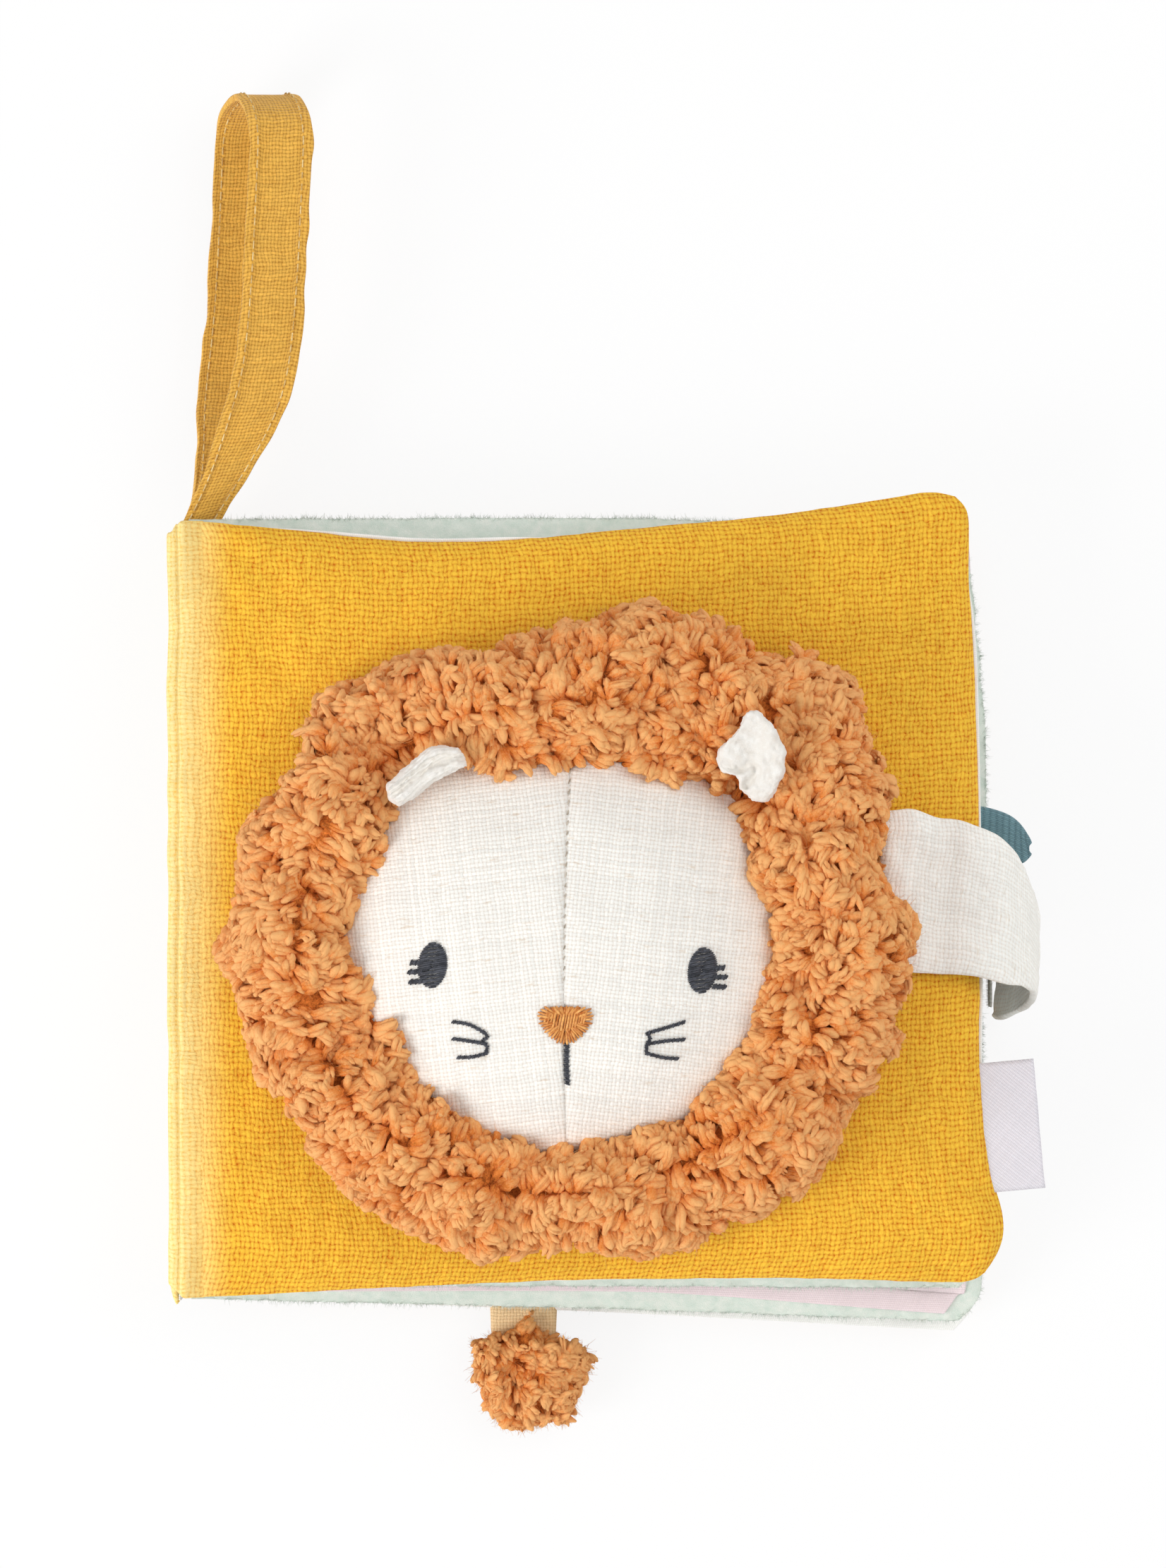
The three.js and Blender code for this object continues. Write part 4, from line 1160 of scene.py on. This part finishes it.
def ear(node, plan, base, folds):
    """A velour tab. base gives the height of its middle, and folds how much its top is raised or sunk."""
    obj = pillow(
        f"{node}_tab", plan, lambda u, v, flat: base(flat) + dome(u, v) * (EAR_HALF + folds(u, v, flat)),
        lambda u, v, flat: base(flat) - dome(u, v) * EAR_HALF, 40, velour)
    subdivide(obj, 1)
    fine, out = points_of(obj), normals_of(obj)
    move_points(obj, fine + out * (noise_on(fine, 0.5) * 0.3 + noise_on(fine, 1.7) * 0.2)[:, None])
    dress(obj, "ear_velour", "front_cover", node)


def lips(u, v, _):
    """Two thick lips with a valley between them, a finer line on one of them, and ribs along both."""
    ribs = 0.16 * np.sin(v * 15.0 + u * 2.0) + 0.1 * np.sin(v * 31.0 - u * 3.0)
    return 1.7 * np.sin(np.pi * np.abs(v)) ** 0.8 - 1.2 - 0.9 * bell(v - 0.35, 0.1) - 0.4 * u + ribs


EAR_HOOK = [(27.6, 29.0), (30.6, 28.6), (33.0, 29.4), (33.2, 27.6), (31.6, 25.6)]


def crease(u, v, flat):
    """A hooked crease near the foot of the ear, and a hollow towards its tip."""
    hook = curve(EAR_HOOK)(np.linspace(0, 1, 40))
    near = np.min(np.linalg.norm(flat[..., None, :] - hook, axis=-1), axis=-1)
    hollow = bell(flat[..., 0] - 32.6, 2.6) * bell(flat[..., 1] - 33.8, 2.8)
    return 0.9 - 2.2 * bell(near, 0.75) - hollow


ear("ear_left", EAR_LEFT, lambda flat: 53.4 + 0.12 * (flat[..., 0] + 28), lips)
ear("ear_right", EAR_RIGHT, lambda flat: 51.6 + 0.26 * (flat[..., 1] - 22), crease)

# Pile: curled wool locks that grow on a surface


# One source of chance for the pile and the fibres. Its order of draws fixes where each lock lies.
rng = np.random.default_rng(SEED)


def random_on(points, faces, count, keep=None):
    """Places spread over triangles by area, with the smooth normal at each."""
    a, b, c = (points[faces[:, i]] for i in range(3))
    cross = np.cross(b - a, c - a)
    area = np.linalg.norm(cross, axis=1)
    if keep is not None:
        area = area * keep(unit(cross), (a + b + c) / 3)
    chosen = faces[rng.choice(len(faces), count, p=area / area.sum())]
    r, q = np.sqrt(rng.random((count, 1))), rng.random((count, 1))
    at_point = np.zeros_like(points)
    for i in range(3):
        np.add.at(at_point, faces[:, i], cross)
    at_point = unit(at_point)
    parts = ((1 - r, 0), (r * (1 - q), 1), (r * q, 2))
    places = sum(part * points[chosen[:, i]] for part, i in parts)
    return places, unit(sum(part * at_point[chosen[:, i]] for part, i in parts))


def triangles_of(obj):
    """The mesh's triangles, as numbers of its points."""
    obj.data.calc_loop_triangles()
    faces = np.zeros(len(obj.data.loop_triangles) * 3, np.int32)
    obj.data.loop_triangles.foreach_get("vertices", faces)
    return faces.reshape(-1, 3)


LOCK_STRANDS = 3
LOCK_POINTS = 8
LOCK_ROUGH = 0.6
LOCK_BLUNT = 0.68


def clumps(points):
    """How far the pile stands out at each place: broad lumps with narrow clefts between them."""
    broad = np.abs(noise_on(points, 0.16, 3)) ** 0.8
    return np.clip(1.5 - 3.4 * broad - 0.8 * np.abs(noise_on(points, 0.45, 5)), -1.6, 1.2)


def locks(name, places, normals, flow, long, thick, lift):
    """Locks of wool: blunt fingers of a few strands that grow along the flow and curl over at their ends."""
    count = len(places)
    way = unit(flow - normals * np.sum(flow * normals, axis=1, keepdims=True) + 1e-4)
    turn = noise_on(places, 0.13) * 2.0 + noise_on(places, 0.42, 7) + rng.normal(0, 0.35, count)
    way = way * np.cos(turn)[:, None] + np.cross(normals, way) * np.sin(turn)[:, None]
    cross = np.cross(normals, way)
    share = np.sin(np.linspace(0, 1, LOCK_POINTS) * np.pi / 2)[None, :, None]
    length = (long * rng.uniform(0.6, 1.35, count))[:, None, None]
    curl = rng.normal(0, 0.55, count)[:, None, None]
    rise = (lift * rng.uniform(0.4, 1.3, count))[:, None, None]
    middle = (
        places[:, None]
        + way[:, None] * (share - 0.3) * length
        + cross[:, None] * curl * length * share**2 * 0.6
        + normals[:, None] * (rise * np.sin(share * np.pi * 0.7) - 0.5)
    )
    middle += noise_on(middle, 0.6)[..., None] * cross[:, None] * 0.4
    tip = np.sqrt(1 - np.clip((share[..., 0] - LOCK_BLUNT) / (1 - LOCK_BLUNT), 0, 0.999) ** 2)
    broad = thick * rng.uniform(0.65, 1.3, (count, 1)) * (0.55 + 0.45 * smooth(share[..., 0], 0, 0.45))
    twist = rng.uniform(0.3, 1.6, (count, 1)) * rng.choice([-1, 1], (count, 1)) * share[..., 0]
    lines, radii = [], []
    for strand in range(LOCK_STRANDS):
        angle = twist + strand * 2 * np.pi / LOCK_STRANDS + rng.normal(0, 0.3, (count, 1))
        out = broad * rng.uniform(0.35, 0.62, (count, 1))
        shift = way[:, None] * (rng.normal(0, 0.4, (count, 1, 1)) * share)
        beside = cross[:, None] * (np.cos(angle) * out)[..., None]
        raised = normals[:, None] * (np.sin(angle) * out * 0.8)[..., None]
        lines.append(middle + shift + beside + raised)
        radii.append(np.maximum(broad * tip * rng.uniform(0.5, 0.75, (count, 1)), 0.03))
    lines, radii = np.concatenate(lines), np.concatenate(radii)
    lines[..., 2] = np.maximum(lines[..., 2], radii * 1.6)
    # The tone is random from lock to lock, and lower in the clefts between lumps, where it is painted shade.
    hollow = clumps(places) / 2.8
    tone = np.clip(0.45 + 0.16 * rng.normal(0, 1, count) + 0.2 * noise_on(places, 0.3) + 0.8 * hollow, 0, 1)
    tone = np.clip(np.tile(tone, LOCK_STRANDS) + rng.normal(0, 0.1, len(lines)), 0, 1)
    # Each lock is darker towards its root: painted shade under the pile.
    depth = np.tile((0.02 + 0.98 * share[..., 0]) * np.ones((count, 1)), (LOCK_STRANDS, 1))
    upward = np.tile(normals + 0.01, (LOCK_STRANDS, 1))
    fields = {"tone": tone, "depth": depth}
    return tubes(name, lines, radii, upward, pile, fields=fields, rough=LOCK_ROUGH), middle


# How far the fine hairs stand off their locks, and their radius
STRAY_REACH = 1.1
STRAY_THICK = 0.045


def strays(name, middles, normals, count, reach=STRAY_REACH, thick=STRAY_THICK):
    """Fine hairs that follow a lock for a while and then bend away from it."""
    chosen = rng.integers(0, len(middles), count)
    start = rng.integers(0, middles.shape[1] - 4, count)
    index = start[:, None] + np.arange(5)
    normals = normals[chosen]
    lines = middles[chosen[:, None], index]
    lines = lines + rng.normal(0, reach * 0.32, (count, 1, 3)) + normals[:, None] * reach * 0.2
    share = np.linspace(0, 1, 5)[None, :, None]
    away = normals[:, None] * rng.uniform(0.1, 1.0, (count, 1, 1)) + rng.normal(0, 0.5, (count, 1, 3))
    lines = lines + away * share**2 * reach
    lines[..., 2] = np.maximum(lines[..., 2], 2 * thick)
    radii = thick * (1 - 0.6 * share[..., 0]) * rng.uniform(0.6, 1.3, (count, 1))
    fields = {"tone": rng.uniform(0.4, 1, count), "depth": np.full(count, 0.9)}
    return tubes(name, lines, radii, normals + 0.01, pile, 3, fields)


def fibres(name, places, normals, long, thick, material):
    """Fine loose fibres, each one a thin bent blade."""
    count = len(places)
    lean = unit(normals + rng.normal(0, 0.55, (count, 3)))
    bend = unit(rng.normal(0, 1, (count, 3)))
    share = np.linspace(0, 1, 4)[None, :, None]
    length = (long * rng.uniform(0.5, 1.3, count))[:, None, None]
    lines = places[:, None] + lean[:, None] * share * length + bend[:, None] * share**2 * length * 0.4
    radii = thick * (1 - 0.8 * share[..., 0]) * np.ones((count, 1))
    return tubes(name, lines, radii, unit(np.cross(lean, bend)), material, 3)


# How far the mane leans over the face at even turns from +X, as a share of the head's radius
MANE_LEANS = (0.01, 0.05, 0.05, 0.02, 0.1, 0.06, 0.1, 0.11, 0, 0, 0.06, 0.03, 0, 0.11, 0.12, 0.07, 0.07, 0, 0,
              0, 0.02, 0, 0.04, 0.04)

# The mane stands back where the strap comes out from under it: how much, at which turn and how widely
MANE_DRAWN = 0.07
STRAP_TURN = 0.045
STRAP_SPREAD = 0.04


def lean_in(points):
    """Moves the mane's inner side over the face, and keeps it above the linen."""
    x, y = head_share(points[:, 0], points[:, 1])
    reach, turn = np.hypot(x, y), np.arctan2(y, x) / (2 * np.pi) % 1
    amount = np.interp(turn * len(MANE_LEANS), np.arange(len(MANE_LEANS) + 1), (*MANE_LEANS, MANE_LEANS[0]))
    drawn = MANE_DRAWN * smooth(reach, 1.1, 1.35) * bell((turn - STRAP_TURN + 0.5) % 1 - 0.5, STRAP_SPREAD)
    share = 1 - amount * (1 - smooth(reach, 0.95, 1.3)) * 1.15 / reach - drawn
    x, y, z = HEAD[0] + x * share * HEAD_HALF[0], HEAD[1] + y * share * HEAD_HALF[1], points[:, 2]
    return np.stack([x, y, np.where(share + drawn < 1, np.maximum(z, face_z(x, y) + 0.8), z)], axis=1)


def pile_on(name, node, body, count, fuzz, keep, flow, shape, shares, long, thick, lift):
    """Covers a node's shape with locks and fuzz over a cloth backing painted darker, as the shade under the
    locks.

    keep says where locks may grow and flow which way, shape moves the backing's points, and shares is the
    number of pieces that the locks come in. long, thick and lift are a lock's length, radius and rise.
    """
    source = frame["nodes"][node]
    backing = source.copy()
    backing.data = source.data.copy()
    backing.name = f"{name}_backing"
    backing.parent = None
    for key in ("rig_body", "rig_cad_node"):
        if key in backing:
            del backing[key]
    bpy.context.scene.collection.objects.link(backing)
    weld = backing.modifiers.new("weld", "WELD")
    weld.merge_threshold = 0.00001
    bake(backing)
    subdivide(backing, 2)
    fine, out = points_of(backing), normals_of(backing)
    fine = shape(fine + out * (clumps(fine) - 0.7)[:, None])
    move_points(backing, fine)
    # The backing takes a low tone and the dark of a lock's root: painted shade under the locks.
    for key, value in (("tone", 0.2), ("depth", 0.1)):
        field = backing.data.attributes.new(key, "FLOAT", "POINT")
        field.data.foreach_set("value", np.full(len(fine), value, np.float32))
    backing.data.polygons.foreach_set("use_smooth", np.ones(len(backing.data.polygons), bool))
    backing.data.materials.clear()
    backing.data.materials.append(pile)
    dress(backing, "rust_pile", body, node)
    places, normals = random_on(fine, triangles_of(backing), count, keep)
    for part in range(shares):
        at, out = places[part::shares], normals[part::shares]
        grown, lines = locks(f"{name}_locks_{part + 1}", at, out, flow(at), long, thick, lift)
        hair = strays(f"{name}_fuzz_{part + 1}", lines, out, fuzz // shares)
        dress(grown, "rust_pile", body)
        dress(hair, "rust_pile", body)


# Where the ears lie on the mane, as circles: middle and radius
EAR_PLACES = ((-27.6, 27.6, 5.6), (-31.5, 24.6, 4.0), (-24.0, 30.4, 4.0), (32.9, 31.6, 6.2),
              (34.6, 25.5, 4.6), (34.2, 36.0, 4.4))


def above(normals, middles):
    """Locks grow where the pile is seen, and not where an ear lies."""
    free = np.ones(len(middles))
    for x, y, wide in EAR_PLACES:
        free *= np.hypot(middles[:, 0] - x, middles[:, 1] - y) > wide * 0.8
    return (normals[:, 2] > -0.3) * free


def outward(places):
    """The mane's pile is combed out from the face, and in over it at its inner edge."""
    x, y = head_share(places[:, 0], places[:, 1])
    way = smooth(np.hypot(x, y), 0.98, 1.18) * 2 - 1
    return unit(np.stack([x, y, 0 * x], axis=1)) * way[:, None]


TUFT_MIDDLE = np.array([-10.0, -86.0, 6.0])
TUFT_WAY = np.array([0.35, -0.35, 0.3])


def tuft_in(points):
    """Draws the tuft in a little and up over the end of its strip."""
    drawn = points * np.array([0.9, 0.97, 1.0]) + np.array([-0.4, -1.4, 0.0])
    drawn[:, 2] = np.maximum(drawn[:, 2], 0.4)
    return drawn


def hanging(places):
    """The tuft's pile hangs away from its root and is combed to one side."""
    return unit(places - TUFT_MIDDLE) * 0.8 + TUFT_WAY


MANE_LOCKS, MANE_FUZZ, TUFT_LOCKS, TUFT_FUZZ = ((7000, 38000, 640, 4000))
pile_on("mane_pile", "mane", "front_cover", MANE_LOCKS, MANE_FUZZ, keep=above, flow=outward, shape=lean_in,
        shares=10, long=4.3, thick=1.12, lift=2.1)
pile_on("tuft_pile", "tail_tuft", "tail", TUFT_LOCKS, TUFT_FUZZ, keep=None, flow=hanging, shape=tuft_in,
        shares=1, long=3.6, thick=0.88, lift=1.2)

# The fibres along a leaf's edge stop short of its root, and this many grow on each leaf
ROOT_CLEAR = -68.0
RIM_FIBRES = 5000


def rim_fuzz(leaf, under):
    """Short loose fibres along a leaf's seam, which soften its edge."""
    points, faces = points_of(under), triangles_of(under)
    near = np.abs(field_of(under, "side"))[faces].mean(axis=1) < 0.7
    rim = faces[near & (points[faces, 0].min(axis=1) > ROOT_CLEAR)]
    obj = fibres(f"{leaf}_fuzz", *random_on(points, rim, RIM_FIBRES), 0.9, 0.05, mint_plush)
    dress(obj, "mint_plush", leaf)


rim_fuzz("leaf_one", leaf_one_pad)
rim_fuzz("leaf_two", leaf_two_pad)

# Bands: flat cloth along a route

X_WAY, Y_WAY, Z_WAY = np.eye(3)
HEM_SHARE = 0.7


def route_of(x, y, z):
    """Points from their three coordinates, of which one or two may be a single number."""
    return np.stack(np.broadcast_arrays(x, y, z), axis=-1)


def folded(count, leg):
    """A band that runs out, turns over and runs back: how far out each step is, and the angle of its turn."""
    share = np.linspace(0, 1, count)
    out = np.minimum(1, np.minimum(share, 1 - share) / leg)
    return out, np.clip((share - leg) / (1 - 2 * leg), 0, 1) * np.pi


def normals_along(route, side):
    """The way out of the cloth at each place of a route."""
    return unit(np.cross(unit(np.gradient(route, axis=0)), side))


def band(name, route, side, wide, thick, material, columns=13, roll=0.25, ripple=0.1, levels=1, edge=0.0,
         relief=0.0, bias=0.0):
    """A band of cloth along a route, with its width along side. Its edges are turned in and roll a little.

    ripple and edge are how uneven its face and its edges are, relief how high its hems stand, and bias the
    angle of its threads.
    """
    t = np.linspace(-1, 1, columns)[:, None]
    normal = normals_along(route, side)[:, None]
    half = np.broadcast_to(wide, len(route))[:, None, None] / 2
    hem = smooth(np.abs(t), HEM_SHARE - 0.05, HEM_SHARE + 0.03) * relief
    flat = route[:, None] + side * (t * half) + normal * (hem - np.abs(t) ** 6 * roll)
    bumps = noise_on(flat, 0.17, 2) * ripple + noise_on(flat, 0.6) * ripple * 0.4
    points = flat + normal * bumps[..., None] + side * (noise_on(flat, 0.25, 8) * edge)[..., None]
    places = turned(cloth_places(points), bias)
    obj = mesh_object(name, points, grid_faces(len(route), columns), material, places)
    return thicken(obj, thick, levels)


# The hanging loop: where it starts, how far it runs out and to the side, and how its legs part
LOOP_ROOT = (-72.6, 74.6, 16.0)
LOOP_LONG, LOOP_LEAN, LOOP_TIP = 73.0, 12.6, 10.0
LOOP_LEG = 0.42
LOOP_GAP, LOOP_OPENS = 1.3, 8.7
LOOP_WIDE, LOOP_NARROWER = 12.0, 5.5
run, bend = folded(130, LOOP_LEG)
opened = smooth(run, 0, 0.45)
drift = run + (1 - (1 - run) ** 4 - run) * 0.75
loop_route = route_of(
    LOOP_ROOT[0] + LOOP_LEAN * drift - np.cos(bend) * 4 * opened,
    LOOP_ROOT[1] + LOOP_LONG * run + LOOP_TIP * np.sin(bend),
    LOOP_ROOT[2] - 2 * opened - (LOOP_GAP + LOOP_OPENS * opened) * np.cos(bend),
)
loop_wide = LOOP_WIDE - LOOP_NARROWER * (1 - smooth(run, 0, 0.35))
loop = band("hanging_loop_band", loop_route, X_WAY, loop_wide, 1.4, ochre, columns=31, roll=0.3, ripple=0.3,
            edge=0.35, relief=0.3)
dress(loop, "ochre_linen", "hanging_loop", "hanging_loop")

# The loop's rows of stitches: each row's share of the half width and its height over the cloth's middle.
# One stitch has four points, at shares of the way to the next one, raised or sunk by shares of its thickness.
LOOP_ROWS = ((0.72, 1.05), (-0.72, 1.05), (0.72, -0.85), (-0.72, -0.85))
LOOP_PITCH = 2.2
LOOP_THREAD = 0.13
STITCH_ALONG = np.array([-0.33, -0.14, 0.14, 0.33])
STITCH_SINK = np.array([-0.6, 0.25, 0.25, -0.6])


def loop_row(number, share, lift):
    """A row of short stitches along the loop, as a piece that moves with it."""
    run, normal = run_of(loop_route), normals_along(loop_route, X_WAY)
    line = loop_route + X_WAY * (share * loop_wide / 2)[:, None] + normal * lift

    def along(values, places):
        return np.stack([np.interp(places, run, value) for value in values.T], axis=-1)

    starts = np.arange(LOOP_PITCH, run[-1] - LOOP_PITCH, LOOP_PITCH)
    places = starts[:, None] + STITCH_ALONG * LOOP_PITCH
    sink = np.sign(lift) * STITCH_SINK * LOOP_THREAD * 2
    lines = along(line, places) + along(normal, places) * sink[:, None]
    radii = np.full(lines.shape[:2], LOOP_THREAD)
    obj = tubes(f"loop_stitches_{number}", lines, radii, along(normal, starts) + 0.01, ochre_thread)
    dress(obj, "ochre_linen", "hanging_loop")
    return obj


loop_stitches = [loop_row(number, *row) for number, row in enumerate(LOOP_ROWS, 1)]

# The strap's line: how far out and how high it runs, and where its two edges lie
STRAP = [
    (61.0, 34.4, -9.5, 20.2), (58.6, 34.5, -9.5, 20.6), (57.6, 35.8, -9.5, 20.9), (59.2, 36.9, -9.5, 21.1),
    (63.0, 36.2, -9.5, 21.1), (69, 34.4, -9.9, 19.7), (74.6, 33.9, -10.4, 18.6), (80.9, 31.8, -11.6, 15.4),
    (86.0, 26.9, -12.8, 8.6), (88.2, 19.6, -14.4, 2.6), (87.2, 11.9, -17.0, -1.0), (84.1, 6.6, -19.2, -3.4),
    (81.9, 2.6, -19.6, -4.4),
]
out, high, near, far = curve(STRAP)(np.linspace(0, 1, 100)).T
strap = band("closure_strap_band", route_of(out, (near + far) / 2, high), Y_WAY, far - near, 1.5, strap_linen,
             columns=41, roll=0.7, ripple=0.6, edge=0.5)
dress(strap, "oatmeal_linen", ("front_cover", "closure_strap", (0.066, 0, 0.034), (0.073, 0, 0.034)),
      "closure_strap", "strap_sewn_end")

# The woven tab: its root, how long it is, how far it drops to the foot and how wide it starts
TAB_ROOT = (76.6, 17.0, 19.66)
TAB_LONG, TAB_DROP, TAB_WIDE = 10.2, 3.4, 9.6
share = np.sin(np.linspace(0, 1, 24) * np.pi / 2)
tab_route = route_of(TAB_ROOT[0] + TAB_LONG * share, TAB_ROOT[1] - TAB_DROP * share**1.5, TAB_ROOT[2])
tab_wide = TAB_WIDE * np.sqrt(1 - 0.96 * np.clip((share - 0.5) / 0.5, 0, 1) ** 2.4)
tab = band("woven_tab_band", tab_route, Y_WAY, tab_wide, 1.3, teal, roll=0.2)
dress(tab, "teal_weave", ("leaf_one", "woven_tab", (0.0772, 0, 0.0197), (0.079, 0, 0.0197)), "woven_tab")

# The label's root, the ways that it runs out and across, its size, and how round and open its fold is
LABEL_AT = np.array([76.7, -39.6, 26.44])
LABEL_OUT, LABEL_SIDE = np.array([0.996, 0.09, 0]), np.array([-0.09, 0.996, 0])
LABEL_LONG, LABEL_WIDE = 11.0, 24.6
LABEL_ROUND, LABEL_GAP = 0.45, 0.4
out, turn = folded(60, 0.44)
label_out = (LABEL_LONG * out + LABEL_ROUND * np.sin(turn))[:, None]
label_route = LABEL_AT + LABEL_OUT * label_out - Z_WAY * (LABEL_GAP * np.cos(turn))[:, None]
label = band("folded_label", label_route, LABEL_SIDE, LABEL_WIDE, 0.25, satin, columns=25, roll=0.0,
             ripple=0.12, levels=0, bias=0.75)
dress(label, "grey_satin", ("front_cover", "label", (0.0785, 0, 0.0264), (0.0805, 0, 0.0264)), "label")

# The middle and half size of each patch, along the cover's edge and in height
PATCH_MIDDLE = (-11.0, 5.7)
PATCH_HALF = (6.3, 2.8)


def patch(name, node, x, way, body, threads, thick):
    """A tape with fibres that stand on it: stiff hooks or soft loops."""
    (y, z), (wide, tall) = PATCH_MIDDLE, PATCH_HALF
    route = route_of(x, y, np.linspace(z - tall, z + tall, 12))
    tape_band = band(name, route, Y_WAY, 2 * wide, 0.5, tape, columns=25, roll=0.0, ripple=0.03)
    across, up = np.meshgrid(np.linspace(-1, 1, threads), np.linspace(-1, 1, threads // 2))
    places = route_of(x, y + 0.95 * wide * across.ravel(), z + 0.92 * tall * up.ravel())
    stood = fibres(f"{name}_fibres", places, np.tile(X_WAY * way, (len(places), 1)), 0.7, thick, tape)
    dress(tape_band, "hook_and_loop", body, node)
    dress(stood, "hook_and_loop", body)


patch("hook_tape", "hook_patch", 78.1, 1.0, "back_cover", threads=26, thick=0.07)
patch("loop_tape", "loop_patch", 80.3, -1.0, "closure_strap", threads=34, thick=0.05)

# The tail's strip: its root, how long it is and how much it rises, and its width, which shrinks a little
TAIL_ROOT = (-10.0, -72.0, 5.8)
TAIL_LONG, TAIL_RISE = 9.6, 0.4
TAIL_WIDE, TAIL_NARROWER = 13.4, 0.9
share = np.linspace(0, 1, 20)
tail_route = route_of(TAIL_ROOT[0], TAIL_ROOT[1] - TAIL_LONG * share, TAIL_ROOT[2] + TAIL_RISE * share)
tail = band("tail_band", tail_route, X_WAY, TAIL_WIDE - TAIL_NARROWER * share, 1.4, tan_linen, ripple=0.12)
dress(tail, "tan_linen", ("back_cover", "tail", (0, -0.0745, 0.006), (0, -0.0775, 0.006)), "tail_strip")
